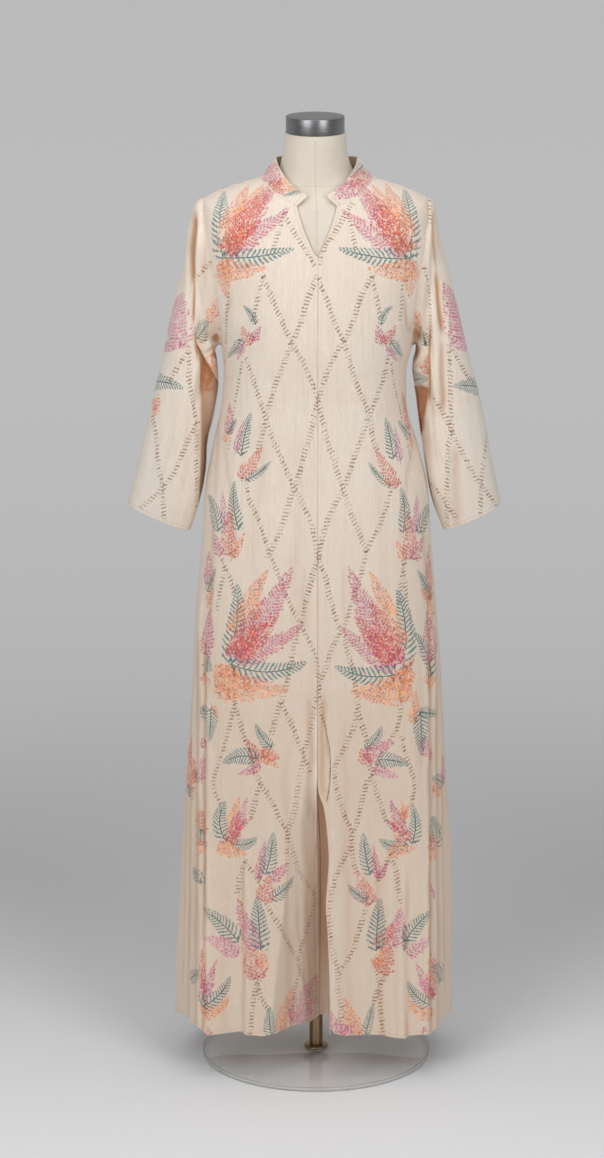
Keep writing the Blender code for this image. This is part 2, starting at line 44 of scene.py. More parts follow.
def slopes(x, y):
    """Slopes of a smooth curve through the points that doesn't overshoot them."""
    step = np.diff(x)
    rise = np.diff(y) / step
    slope = np.zeros_like(y)
    slope[0], slope[-1] = rise[0], rise[-1]
    for i in range(1, len(x) - 1):
        if rise[i - 1] * rise[i] > 0:
            before, after = 2 * step[i] + step[i - 1], step[i] + 2 * step[i - 1]
            slope[i] = (before + after) / (before / rise[i - 1] + after / rise[i])
    return slope


def hermite(t, a, b, slope_a, slope_b):
    """A smooth curve from a at t = 0 to b at t = 1, with those slopes at its ends."""
    return ((1 + 2 * t) * (1 - t) ** 2 * a + t * (1 - t) ** 2 * slope_a
            + t * t * (3 - 2 * t) * b + t * t * (t - 1) * slope_b)


class Table:
    """Rows of named columns, read at any station between the first and the last."""

    def __init__(self, names, rows):
        self.y = dict(zip(names.split(), np.array(rows, float).T))
        self.x = self.y["station"]
        self.m = {name: slopes(self.x, column) for name, column in self.y.items()}

    def at(self, name, x):
        x = np.clip(np.asarray(x, float), self.x[0], self.x[-1])
        i = np.clip(np.searchsorted(self.x, x, side="right") - 1, 0, len(self.x) - 2)
        step = self.x[i + 1] - self.x[i]
        y, m = self.y[name], self.m[name]
        return hermite((x - self.x[i]) / step, y[i], y[i + 1], step * m[i], step * m[i + 1])


def ease(t):
    t = np.clip(t, 0.0, 1.0)
    return t * t * (3 - 2 * t)


def unit(v):
    return v / np.maximum(np.linalg.norm(v, axis=-1, keepdims=True), 1e-12)


# ---------------------------------------------------------------- sizes and tables, as in the part's source

HEM, UNDERARM, SHOULDER_TIP, NECKLINE = 0.075, 1.192, 1.4235, 1.459
CENTRE_X = 0.0016
SLIT_POINT, SLIT_HALF = 1.376, 0.0310
PLEAT_TOP, PLEAT_DEPTH, PLEAT_RUN = 0.640, 0.098, 0.082
ARMHOLE_SPREAD = 24.0
REST_GAP = 0.0006
CAD_WALL = 0.0016

BODY = Table("station drop_front drop_back half_right half_left front back side power", (
    (0.075, 0.000, 0.000, 0.2285, 0.2200, -0.129, 0.124, -0.004, 3.3),
    (0.150, 0.000, 0.000, 0.2272, 0.2190, -0.128, 0.122, -0.004, 3.2),
    (0.250, 0.000, 0.000, 0.2226, 0.2200, -0.127, 0.120, -0.004, 3.1),
    (0.370, 0.000, 0.000, 0.2168, 0.2167, -0.126, 0.117, -0.004, 3.0),
    (0.510, 0.000, 0.000, 0.2086, 0.2085, -0.124, 0.114, -0.003, 2.8),
    (0.640, 0.000, 0.000, 0.2003, 0.2025, -0.122, 0.111, -0.002, 2.7),
    (0.760, 0.000, 0.000, 0.1950, 0.1935, -0.120, 0.108, 0.000, 2.6),
    (0.870, 0.000, 0.000, 0.1840, 0.1843, -0.118, 0.105, 0.000, 2.5),
    (0.955, 0.000, 0.000, 0.1782, 0.1783, -0.116, 0.100, 0.000, 2.4),
    (1.030, 0.000, 0.000, 0.1655, 0.1615, -0.115, 0.096, 0.000, 2.4),
    (1.100, 0.000, 0.000, 0.1512, 0.1428, -0.116, 0.094, 0.000, 2.4),
    (1.150, 0.000, 0.000, 0.1476, 0.1420, -0.118, 0.094, 0.000, 2.4),
    (1.192, 0.000, 0.000, 0.1505, 0.1508, -0.121, 0.095, 0.000, 2.4),
    (1.250, 0.000, 0.000, 0.1585, 0.1585, -0.122, 0.096, 0.000, 2.5),
    (1.300, 0.006, 0.000, 0.1665, 0.1665, -0.119, 0.095, 0.000, 2.5),
    (1.360, 0.020, 0.002, 0.1755, 0.1745, -0.112, 0.091, 0.002, 2.5),
    (1.405, 0.033, 0.004, 0.1810, 0.1780, -0.104, 0.085, 0.004, 2.4),
    (1.4235, 0.036, 0.004, 0.1780, 0.1740, -0.099, 0.080, 0.006, 2.3),
    (1.4330, 0.037, 0.002, 0.1660, 0.1630, -0.097, 0.077, 0.007, 2.2),
    (1.4430, 0.036, -0.001, 0.1440, 0.1420, -0.094, 0.073, 0.007, 2.1),
    (1.4520, 0.035, -0.005, 0.1130, 0.1130, -0.091, 0.069, 0.006, 2.0),
    (1.4590, 0.034, -0.009, 0.0870, 0.0880, -0.088, 0.065, 0.005, 2.0),
))

# Folds of the skirt: degrees from the centre front, width in degrees, top, bottom, height.
FOLDS = (
    (-44.0, 7.0, 0.62, 0.10, 0.0160), (-60.0, 9.0, 0.62, 0.10, -0.0060), (-76.0, 7.0, 0.70, 0.20, 0.0040),
    (44.0, 7.0, 0.78, 0.12, 0.0150), (36.0, 4.0, 0.36, 0.10, -0.0050), (61.0, 9.0, 0.80, 0.12, -0.0060),
    (77.0, 7.0, 0.70, 0.20, 0.0040), (-26.0, 8.0, 1.12, 0.70, 0.0020), (23.0, 8.0, 1.16, 0.74, -0.0020),
    (112.0, 12.0, 0.90, 0.15, 0.0060), (139.0, 13.0, 1.06, 0.12, -0.0080), (165.0, 13.0, 1.10, 0.12, 0.0080),
    (-168.0, 13.0, 1.12, 0.12, -0.0080), (-141.0, 13.0, 1.04, 0.12, 0.0080), (-114.0, 12.0, 0.92, 0.15, -0.0060),
)

# How far inside the cloth the dress form lies.
FORM = Table("station inset", (
    (0.740, 0.0300), (0.760, 0.0250), (0.860, 0.0150), (0.955, 0.0200), (1.060, 0.0270), (1.130, 0.0200),
    (1.190, 0.0100), (1.250, 0.0050), (1.300, 0.0034), (1.360, 0.0024), (1.405, 0.0024), (1.459, 0.0024),
))
# Rings of its neck: height at the side, in front and behind, half width, front, back, centre.
NECK = (
    (1.4625, 1.4330, 1.4700, 0.0740, -0.0770, 0.0600, -0.0004),
    (1.4680, 1.4430, 1.4740, 0.0640, -0.0670, 0.0560, -0.0012),
    (1.4760, 1.4560, 1.4800, 0.0570, -0.0590, 0.0520, -0.0020),
    (1.4900, 1.4780, 1.4910, 0.0530, -0.0540, 0.0490, -0.0026),
    (1.5080, 1.5030, 1.5080, 0.0500, -0.0510, 0.0470, -0.0026),
    (1.5320, 1.5320, 1.5320, 0.0480, -0.0485, 0.0465, -0.0026),
)

# Rings of the sleeves: outer edge right, left and its height, inner edge right, left and its height, front, back,
# where the front layer folds, and how deep it folds in.
SLEEVE = (
    (0.1900, 0.1835, 1.4200, 0.1572, 0.1568, 1.1930, -0.052, 0.046, 0.1960, 0.000),
    (0.1985, 0.1890, 1.3980, 0.1616, 0.1562, 1.1790, -0.053, 0.045, 0.1955, 0.003),
    (0.2055, 0.1960, 1.3600, 0.1572, 0.1520, 1.1540, -0.052, 0.045, 0.1950, 0.006),
    (0.2122, 0.2078, 1.3180, 0.1570, 0.1560, 1.1240, -0.051, 0.045, 0.1940, 0.010),
    (0.2280, 0.2222, 1.2600, 0.1632, 0.1615, 1.0820, -0.050, 0.044, 0.1925, 0.014),
    (0.2425, 0.2400, 1.1830, 0.1745, 0.1682, 1.0350, -0.048, 0.042, 0.1890, 0.017),
    (0.2605, 0.2595, 1.1100, 0.1775, 0.1750, 0.9900, -0.045, 0.039, 0.1880, 0.015),
    (0.2800, 0.2765, 1.0280, 0.1868, 0.1851, 0.9400, -0.041, 0.035, 0.1890, 0.010),
    (0.3018, 0.2951, 0.9343, 0.2018, 0.2028, 0.8920, -0.034, 0.029, 0.1900, 0.000),
)

COLLAR_TOP = {"half": 0.0640, "front": -0.0800, "back": 0.0560, "side": 0.006,
              "z_side": 1.4915, "z_front": 1.4450, "z_back": 1.4850, "end_angle": 13.0}

CAP = {"radius": 0.0462, "bottom": 1.5325, "top": 1.558, "x": -0.0026}
FORM_BOTTOM = 0.740
POLE = {"radius": 0.0110, "bottom": 0.0127, "top": 0.7397}
FLANGE = {"radius": 0.0200, "bottom": 0.0083, "top": 0.0124}
BASE = {"radius": 0.1875, "bottom": 0.0, "top": 0.0080}

# ---------------------------------------------------------------- sizes of the scene's own

# The cloth's thickness, the gap left at a sewn seam, and how deep a hem is turned.
CLOTH = 0.0007
SEAM_GAP = 0.00012
HEM_TURN = 0.03
# How far up from the hem its own line is followed.
HEM_RISE = 0.15
# Above this height the recess beside the pleat fades, over that length.
RECESS_FADE = (0.425, 0.090)
# How wide the step is at which the sleeve's front layer turns back, and how much nearer to the body each side's
# fold lies than in the part.
FOLD_STEP = 0.008
FOLD_SHIFT = {1: 0.0125, -1: 0.0060}
# The shoulder's tip: how far out it is, and how much the cloth rises there. Then how far the cloth is eased forward
# over the armhole, and how far that reaches inward and outward.
TIP_X = {1: 0.1751, -1: 0.1808}
TIP_RISE = 0.0032
ARMHOLE_EASE = 0.0120
EASE_IN, EASE_OUT = 0.0115, 0.0175
# The height of the seam round the base of the form's neck.
NECK_SEAM = 1.4560

# How many steps the fine grids take.
SKIRT_ROWS, ARMHOLE_STEPS, YOKE_ROWS = 216, 52, 16
FRONT_COLUMNS, BACK_COLUMNS = 148, 150
SLEEVE_ROWS, SLEEVE_SIDES = 128, 204
COLLAR_ROWS, COLLAR_COLUMNS = 12, 181
PLEAT_ROWS, PLEAT_COLUMNS = 90, 25
FORM_SIDES = 120

# How wide the pleat is seen to open, by height. Above that its two sides lie one on the other.
MOUTH = Table("station wide", (
    (0.075, 0.0160), (0.110, 0.0162), (0.170, 0.0150), (0.253, 0.0120), (0.295, 0.0092), (0.340, 0.0122),
    (0.372, 0.0138), (0.430, 0.0128), (0.460, 0.0100), (0.486, 0.0020), (0.500, 0.0), (0.640, 0.0),
))
MOUTH_TOP = 0.488

# ---------------------------------------------------------------- the camera, and the photo's picture plane

CAMERA = {"x": -0.0233, "y": -6.76, "z": 2.58, "pitch": 14.69, "lens": 134.9}
PICTURE = {"width": 604, "height": 1158}
SENSOR = 36.0
PIXELS = CAMERA["lens"] / SENSOR * PICTURE["height"]
SINE, COSINE = math.sin(math.radians(CAMERA["pitch"])), math.cos(math.radians(CAMERA["pitch"]))
# How many pixels a metre of the cloth takes, and the upright planes that the fronts and the sleeves lie near.
PER_METRE = 617.0
FRONT_PLANE, SLEEVE_PLANE = -0.12, -0.04


def picture(points):
    """Where points fall in the picture, in pixels of 604 x 1158."""
    away, up = points[..., 1] - CAMERA["y"], points[..., 2] - CAMERA["z"]
    depth = away * COSINE - up * SINE
    x = PICTURE["width"] / 2 + PIXELS * (points[..., 0] - CAMERA["x"]) / depth
    y = PICTURE["height"] / 2 - PIXELS * (away * SINE + up * COSINE) / depth
    return np.stack([x, y], axis=-1)


def on_plane(x, y, plane):
    """The place at that pixel on an upright plane, as (x, z)."""
    k = (PICTURE["height"] / 2 - y) / PIXELS
    away = plane - CAMERA["y"]
    up = away * (k * COSINE - SINE) / (COSINE + k * SINE)
    depth = away * COSINE - up * SINE
    return (x - PICTURE["width"] / 2) / PIXELS * depth + CAMERA["x"], CAMERA["z"] + up


# ---------------------------------------------------------------- the cloth's form

def pleat_share(z):
    """0 at the top of the pleat, 1 at the hem."""
    return np.clip((PLEAT_TOP - z) / (PLEAT_TOP - HEM), 0.0, 1.0)


def mouth(z):
    """How wide the pleat opens at that height."""
    return np.maximum(MOUTH.at("wide", z), 0.0)


def centre(z):
    """Where the centre front lies: straight down the seam, then a little to the wearer's left."""
    return CENTRE_X + 0.0043 * ease((0.475 - z) / 0.105)


def section(angle, w):
    """The plain section of the body, with no folds. angle is in radians from the centre front."""
    b = {name: BODY.at(name, w) for name in BODY.y}
    s, c = np.sin(angle), np.cos(angle)
    rounded = (np.abs(s) ** b["power"] + np.abs(c) ** b["power"]) ** (-1 / b["power"])
    half = np.where(s < 0, b["half_right"], b["half_left"])
    reach = np.where(c > 0, b["side"] - b["front"], b["back"] - b["side"])
    drop = np.where(c > 0, b["drop_front"], b["drop_back"])
    return np.stack([half * s * rounded, b["side"] - reach * c * rounded, w - drop * c * c], axis=-1)


def body(angle, w):
    """A point of the cloth's outer face."""
    angle, w = np.broadcast_arrays(np.asarray(angle, float), np.asarray(w, float))
    p = section(angle, w)
    e = 1e-4
    side = section(angle + e, w) - section(angle - e, w)
    out = unit(np.stack([side[..., 1], -side[..., 0], 0 * side[..., 0]], axis=-1))
    degrees = np.degrees(np.arctan2(np.sin(angle), np.cos(angle)))
    height = 0.0
    for middle, width, top, bottom, high in FOLDS:
        away = np.abs((degrees - middle + 180) % 360 - 180) / width
        height = height + high * np.exp(-away * away) * ease((top - w) / (top - bottom))
    p = p + out * np.asarray(height)[..., None]
    share = pleat_share(w)
    run = PLEAT_RUN * np.maximum(share, 1e-6) ** 0.7
    near = np.clip(1 - (centre(w) - p[..., 0]) / run, 0.0, 1.0)
    folded = (p[..., 0] < centre(w) + 1e-4) & (np.cos(angle) > 0)
    back = np.where(folded, near ** 1.15 * share * PLEAT_DEPTH, 0.0)
    back = back * (1 - ease((w - RECESS_FADE[0]) / RECESS_FADE[1]))
    return p + np.stack([0 * back, back, 0 * back], axis=-1)


def angle_at(x, w, sign):
    """The front angle at which the section has that distance from the centre plane."""
    low, high = np.zeros_like(w), np.full_like(w, math.radians(70))
    for _ in range(40):
        mid = (low + high) / 2
        inside = sign * section(sign * mid, w)[..., 0] < x
        low, high = np.where(inside, mid, low), np.where(inside, high, mid)
    return sign * (low + high) / 2


def armhole_w(phi):
    return UNDERARM + (SHOULDER_TIP - UNDERARM) * (1 + np.cos(phi)) / 2


def armhole_spread(phi):
    return math.radians(ARMHOLE_SPREAD) * np.abs(np.sin(phi)) ** 0.8


def stations():
    """The rows of the body, and how far from the side line each one's cloth ends."""
    hem = HEM + (UNDERARM - HEM) * (np.arange(SKIRT_ROWS) / SKIRT_ROWS)
    phi = math.pi * (1 - np.arange(ARMHOLE_STEPS + 1) / ARMHOLE_STEPS)
    yoke = SHOULDER_TIP + (NECKLINE - SHOULDER_TIP) * np.arange(1, YOKE_ROWS + 1) / YOKE_ROWS
    w = np.concatenate([hem, armhole_w(phi), yoke])
    return w, np.concatenate([0 * hem, armhole_spread(phi), 0 * yoke])


def slit_x(w):
    return SLIT_HALF * np.clip((w - SLIT_POINT) / (NECKLINE - SLIT_POINT), 0, 1)


def inner_angles(w, sign):
    """The centre front edge of a front panel: seam, slit and pleat."""
    slit = slit_x(w)
    if sign > 0:
        x = np.maximum(centre(w) + np.maximum(mouth(w), 0.0004 * (pleat_share(w) > 0)), slit)
        return angle_at(np.maximum(x, CENTRE_X), w, 1)
    x = np.where(slit > CENTRE_X, slit, -CENTRE_X)
    return np.where(x > 0, angle_at(np.maximum(x, 1e-5), w, -1), angle_at(centre(w), w, 1))


def sleeve_start(phi, sign):
    """A point of the armhole. phi runs from the shoulder by the front."""
    w, spread = armhole_w(phi), armhole_spread(phi)
    return body(sign * (math.pi / 2 - np.where(np.sin(phi) >= 0, spread, -spread)), w)


def eased_over(points, sign):
    """The cloth runs smoothly over the front of the armhole, and round the shoulder's tip."""
    hole = sleeve_start(np.linspace(math.pi, 0, 40), sign)
    x, y, z = sign * points[..., 0], points[..., 1], points[..., 2]
    off = x - np.interp(z, hole[:, 2], sign * hole[:, 0])
    full = np.exp(-np.abs(off) / np.where(off < 0, EASE_IN, EASE_OUT))
    full = full * ease((z - 1.20) / 0.06) * ease((1.414 - z) / 0.06) * ease((-0.008 - y) / 0.02)
    tip = (x - TIP_X[sign]) / 0.0060
    moved = points.copy()
    moved[..., 1] -= ARMHOLE_EASE * full
    moved[..., 2] += TIP_RISE * np.exp(-tip * tip) * ease((z - 1.385) / 0.02)
    return moved, full


def sleeve_rings(sign, steps, around):
    """Rings of the sleeve's outer face from the armhole to the cuff."""
    phi = 2 * math.pi * np.arange(around) / around
    start = sleeve_start(phi, sign)
    c, s = np.cos(phi), np.sin(phi)
    rounded = (np.abs(c) ** 2.4 + np.abs(s) ** 2.4) ** (-1 / 2.4)
    hole = (start[:, 2] - start[:, 2].min()) / np.ptp(start[:, 2])
    rings = [start]
    for row, values in enumerate(SLEEVE):
        out_right, out_left, out_z, in_right, in_left, in_z, front, back, fold, recess = values
        out_x, in_x = (out_left, in_left) if sign > 0 else (out_right, in_right)
        own = min(1.0, (row + 1) / 4)
        along = hole + ((1 + c * rounded) / 2 - hole) * own
        x, z = in_x + (out_x - in_x) * along, in_z + (out_z - in_z) * along
        y = np.where(s > 0, front * s * rounded, -back * s * rounded)
        y = start[:, 1] + (y - start[:, 1]) * own
        folded = ease((fold - FOLD_SHIFT[sign] - x) / FOLD_STEP + 0.5)
        y = y + np.where(s > 0, recess * folded * ease(np.abs(s) * 2), 0.0)
        rings.append(np.stack([sign * x, y, z], axis=-1))
    rings = np.array(rings)
    slope = np.gradient(rings, axis=0)
    result = []
    for i in range(steps + 1):
        at = (i / steps) ** 1.15 * (len(rings) - 1)
        k = min(int(at), len(rings) - 2)
        result.append(hermite(at - k, rings[k], rings[k + 1], slope[k], slope[k + 1]))
    return np.array(result)


def grid_normals(grid, closed=False):
    """Normals of a grid of points, its rows upward and its columns anticlockwise seen from outside."""
    across = np.roll(grid, -1, axis=1) - np.roll(grid, 1, axis=1) if closed else np.gradient(grid, axis=1)
    return unit(np.cross(across, np.gradient(grid, axis=0)))


# ---------------------------------------------------------------- creases, placed in the picture's pixels

# A soft line from (x0, y0) to (x1, y1), its half width in pixels, how far it stands out in millimetres, less than
# nothing for a trough, and how much painted shade darkens it, less than nothing for a painted highlight.
FRONT_CREASES = (
    # Folds at the corners of the skirt, where the front turns to the sides.
    (204, 640, 203.5, 1040, 1.5, -4.0, 0.70), (200.5, 600, 200, 1026, 2.0, 3.0, -0.15),
    (208, 700, 208.5, 1036, 3.0, 3.0, -0.15), (196.5, 640, 195, 1018, 1.2, -2.6, 0.50),
    (193, 690, 191.0, 1018, 1.4, 2.0, -0.10), (190.5, 640, 187.5, 1018, 1.1, -2.4, 0.45),
    (187.5, 700, 184.0, 1014, 1.3, 1.8, -0.10), (186, 800, 181.5, 1014, 1.0, -1.8, 0.35),
    (430.5, 590, 431.5, 1034, 1.4, -4.0, 0.66), (427, 640, 427, 1034, 2.4, 3.0, -0.15),
    (434.5, 620, 435.5, 1026, 1.7, 2.6, -0.12), (438.0, 640, 439.5, 1022, 1.1, -2.6, 0.45),
    (440.5, 700, 443.5, 1016, 1.3, 1.8, -0.10), (443.0, 760, 446.5, 1012, 1.0, -2.0, 0.38),
    (407.5, 880, 406.8, 1041, 1.2, -3.4, 0.42), (403, 860, 401.5, 1040, 2.6, 3.4, -0.18),
    # Long soft drapes down the front.
    (242.5, 860, 243.2, 1034, 1.6, -3.6, 0.34), (248, 840, 249, 1036, 3.4, 3.4, -0.14),
    (226, 880, 224, 1034, 5.0, -1.6, 0.14), (270, 800, 272, 1036, 4.5, 2.2, -0.08),
    (286, 740, 291, 1026, 4.0, -2.4, 0.24), (300, 700, 303, 1020, 3.4, 1.8, -0.10),
    (309, 690, 311, 830, 3.2, -2.0, 0.46), (309, 820, 310, 1018, 3.6, -1.6, 0.26),
    (298, 900, 306, 1016, 2.2, -1.6, 0.20), (345, 720, 350, 1030, 4.0, -2.2, 0.20),
    (337, 840, 338, 1034, 3.0, 1.6, -0.10), (362, 800, 366, 1034, 5.0, 2.4, -0.08),
    (380, 860, 384, 1034, 4.0, -2.4, 0.20), (392, 860, 394, 1036, 3.0, 1.8, -0.10),
    (300, 430, 296, 640, 6.0, -1.0, 0.12), (336, 420, 342, 640, 6.0, 1.0, -0.06),
    (262, 420, 250, 640, 6.0, -1.2, 0.12), (378, 430, 388, 640, 6.0, -1.2, 0.12),
    (345, 560, 344, 640, 2.6, -1.0, 0.22), (305, 560, 303, 640, 2.6, -1.0, 0.24),
    # The closed top of the pleat: one side rolls over the other.
    (316.4, 700, 315.2, 760, 0.9, 1.6, -0.75), (315.2, 752, 316.6, 860, 0.9, 1.6, -0.75),
    (316.6, 850, 318.6, 1006, 0.9, 1.4, -0.60), (322.4, 690, 323.4, 806, 2.8, -2.6, 0.50),
    (324.2, 722, 329.6, 766, 0.6, -1.6, 0.80), (329.6, 762, 329.4, 782, 0.6, -1.6, 0.85),
    (329.4, 780, 326.2, 806, 0.6, -1.6, 0.85), (332.5, 740, 333.5, 860, 1.8, 1.6, -0.22),
    (331.5, 850, 333.5, 1020, 1.2, 1.4, -0.30),
    # Pulls under the arms and over the bust.
    (222, 342, 231, 292, 2.2, -3.0, 0.50), (227, 352, 240, 318, 2.4, 2.0, -0.10),
    (224, 365, 246, 352, 2.6, -1.6, 0.25), (413, 348, 404, 296, 2.2, -3.0, 0.50),
    (408, 356, 396, 322, 2.4, 2.0, -0.10), (411, 372, 388, 356, 2.6, -1.6, 0.25),
    (226, 300, 226, 224, 1.8, -1.2, 0.30), (409, 300, 407, 224, 1.8, -1.2, 0.30),
    (221, 440, 236, 560, 3.0, -1.4, 0.28), (415, 440, 401, 560, 3.0, -1.4, 0.25),
    (213, 520, 207, 640, 2.0, -2.0, 0.45), (424, 520, 430, 600, 1.8, -2.0, 0.40),
    (218, 430, 212, 520, 1.6, -1.2, 0.30), (218.2, 328, 218.6, 346, 1.6, -0.8, 0.55),
    (412.6, 322, 411.4, 346, 1.6, -0.8, 0.55),
    # The centre seam draws the cloth in a little.
    (317.8, 262, 317.6, 706, 0.5, -0.5, 0.34), (316.2, 264, 316.0, 700, 0.8, 0.5, -0.18),
    (290, 392, 345, 396, 2.6, -0.6, 0.08), (246, 404, 292, 412, 2.2, -0.6, 0.07),
    (340, 404, 392, 398, 2.2, -0.6, 0.07),
)
# The same for the sleeves: those on the viewer's left, and on the viewer's right.
RIGHT_SLEEVE_CREASES = (
    (212.8, 314, 213.8, 344, 4.0, -0.6, 0.40), (217.0, 331, 216.3, 347, 1.8, -1.0, 1.10),
    (193.0, 209, 193.0, 290, 2.6, -3.6, 1.40), (193.4, 276, 193.8, 330, 1.2, -3.0, 1.30),
    (193.8, 324, 198.8, 366, 1.1, -2.6, 1.20), (187.4, 216, 186.6, 344, 2.6, 2.2, -0.22),
    (198.2, 220, 198.4, 336, 2.0, 1.8, -0.20), (184.6, 296, 185.2, 350, 0.9, -1.2, 0.40),
    (199, 270, 214, 262, 2.6, -1.6, 0.20), (205, 226, 205, 296, 2.0, -1.0, 0.20),
    (199, 346, 214, 330, 2.4, -2.0, 0.50), (203, 356, 216, 346, 2.0, -2.2, 0.70),
    (213.5, 334, 219.5, 345, 3.2, -3.4, 1.40), (218, 326, 222, 332, 2.0, -1.4, 0.60),
    (210, 352, 216, 360, 2.4, -1.6, 0.55), (206, 368, 219, 362, 3.0, 1.8, 0.10),
    (201.5, 366, 201.0, 402, 1.6, -1.2, 0.75), (204, 396, 216, 372, 2.6, -2.0, 0.35),
    (176, 380, 168, 470, 4.0, -1.2, 0.10), (160, 420, 150, 500, 4.0, -1.2, 0.08),
    (187, 400, 185, 500, 4.0, -1.0, 0.14),
)
LEFT_SLEEVE_CREASES = (
    (419.5, 318, 418.5, 346, 3.4, -0.6, 0.30), (414.6, 322, 413.4, 350, 1.8, -1.0, 1.00),
    (433.5, 206, 436.2, 272, 1.9, -2.6, 0.85), (436.2, 264, 441.2, 340, 2.3, -3.0, 1.30),
    (441.4, 332, 441.6, 420, 2.8, -2.4, 0.75), (428.6, 240, 432.0, 330, 1.8, 1.4, -0.15),
    (434.6, 300, 435.0, 400, 2.2, 2.0, -0.25), (430.2, 318, 428.8, 410, 1.1, -2.2, 1.30),
    (447, 300, 447, 356, 2.6, 1.6, -0.10), (452, 440, 460, 545, 4.5, -2.6, 0.35), (444, 430, 446, 520, 3.5, 1.6, 0.0),
    (470, 380, 478, 480, 4.5, -1.2, 0.10), (410, 320, 424, 333, 1.6, -2.4, 1.10),
    (412.5, 326, 419.5, 344, 3.0, -3.2, 1.40), (419.5, 340, 411, 368, 3.2, -3.2, 1.30),
    (412, 372, 427, 360, 1.4, -1.4, 0.55), (410, 370, 414, 378, 1.8, -1.4, 0.60),
    (416, 386, 417, 430, 2.0, -1.2, 0.55), (432, 396, 436, 470, 2.0, -1.0, 0.25),
)
# How the back repeats the front's creases: turned about the centre plane, a little shifted and softer.
BACK_SHIFT = {"x": 0.94, "z": 0.03, "height": 0.85}


def crease_height(x, z, table, plane=FRONT_PLANE, flip=False):
    """Height and shade of the creases at places of the upright plane."""
    height, shade = np.zeros_like(x), np.zeros_like(x)
    for x0, y0, x1, y1, width, high, dark in table:
        (ax, az), (bx, bz) = on_plane(x0, y0, plane), on_plane(x1, y1, plane)
        scale = 1.0
        if flip:
            ax, bx = -ax * BACK_SHIFT["x"], -bx * BACK_SHIFT["x"]
            az, bz, scale = az + BACK_SHIFT["z"], bz + BACK_SHIFT["z"], BACK_SHIFT["height"]
        wide = width / PER_METRE
        run = np.array([bx - ax, bz - az])
        long_ = np.linalg.norm(run)
        run = run / long_
        along = ((x - ax) * run[0] + (z - az) * run[1]) / long_
        wander = 0.35 * np.sin(along * long_ * 31.0 + ax * 90.0) + 0.2 * np.sin(along * long_ * 73.0)
        aside = (x - ax) * run[1] - (z - az) * run[0] + wander * wide
        end = min(0.45, 0.030 / long_)
        fade = ease(along / end)
        if min(bz, az) >= HEM + HEM_TURN:
            fade = fade * ease((1 - along) / end)
        uneven = 0.82 + 0.18 * np.sin(along * long_ * 17.0 + bx * 60.0)
        gauss = np.exp(-(aside / wide) ** 2) * fade * uneven
        height += high / 1000.0 * scale * gauss
        shade += dark * scale * gauss
    return height, np.clip(shade, -1, 1)


# ---------------------------------------------------------------- meshes

def add_object(name, data):
    made = bpy.data.objects.new(name, data)
    bpy.context.scene.collection.objects.link(made)
    return made


def finish_mesh(mesh, sharp):
    """Smooth faces, with sharp edges where they meet at more than that many degrees."""
    mesh.polygons.foreach_set("use_smooth", np.ones(len(mesh.polygons), bool))
    mesh.set_sharp_from_angle(angle=math.radians(sharp))


def add_vectors(mesh, name, domain, values):
    layer = mesh.attributes.new(name, "FLOAT_VECTOR", domain)
    layer.data.foreach_set("vector", np.ascontiguousarray(values, np.float32).ravel())


def add_map(mesh, name, places):
    layer = mesh.uv_layers.new(name=name)
    layer.data.foreach_set("uv", places.astype(np.float32).ravel())


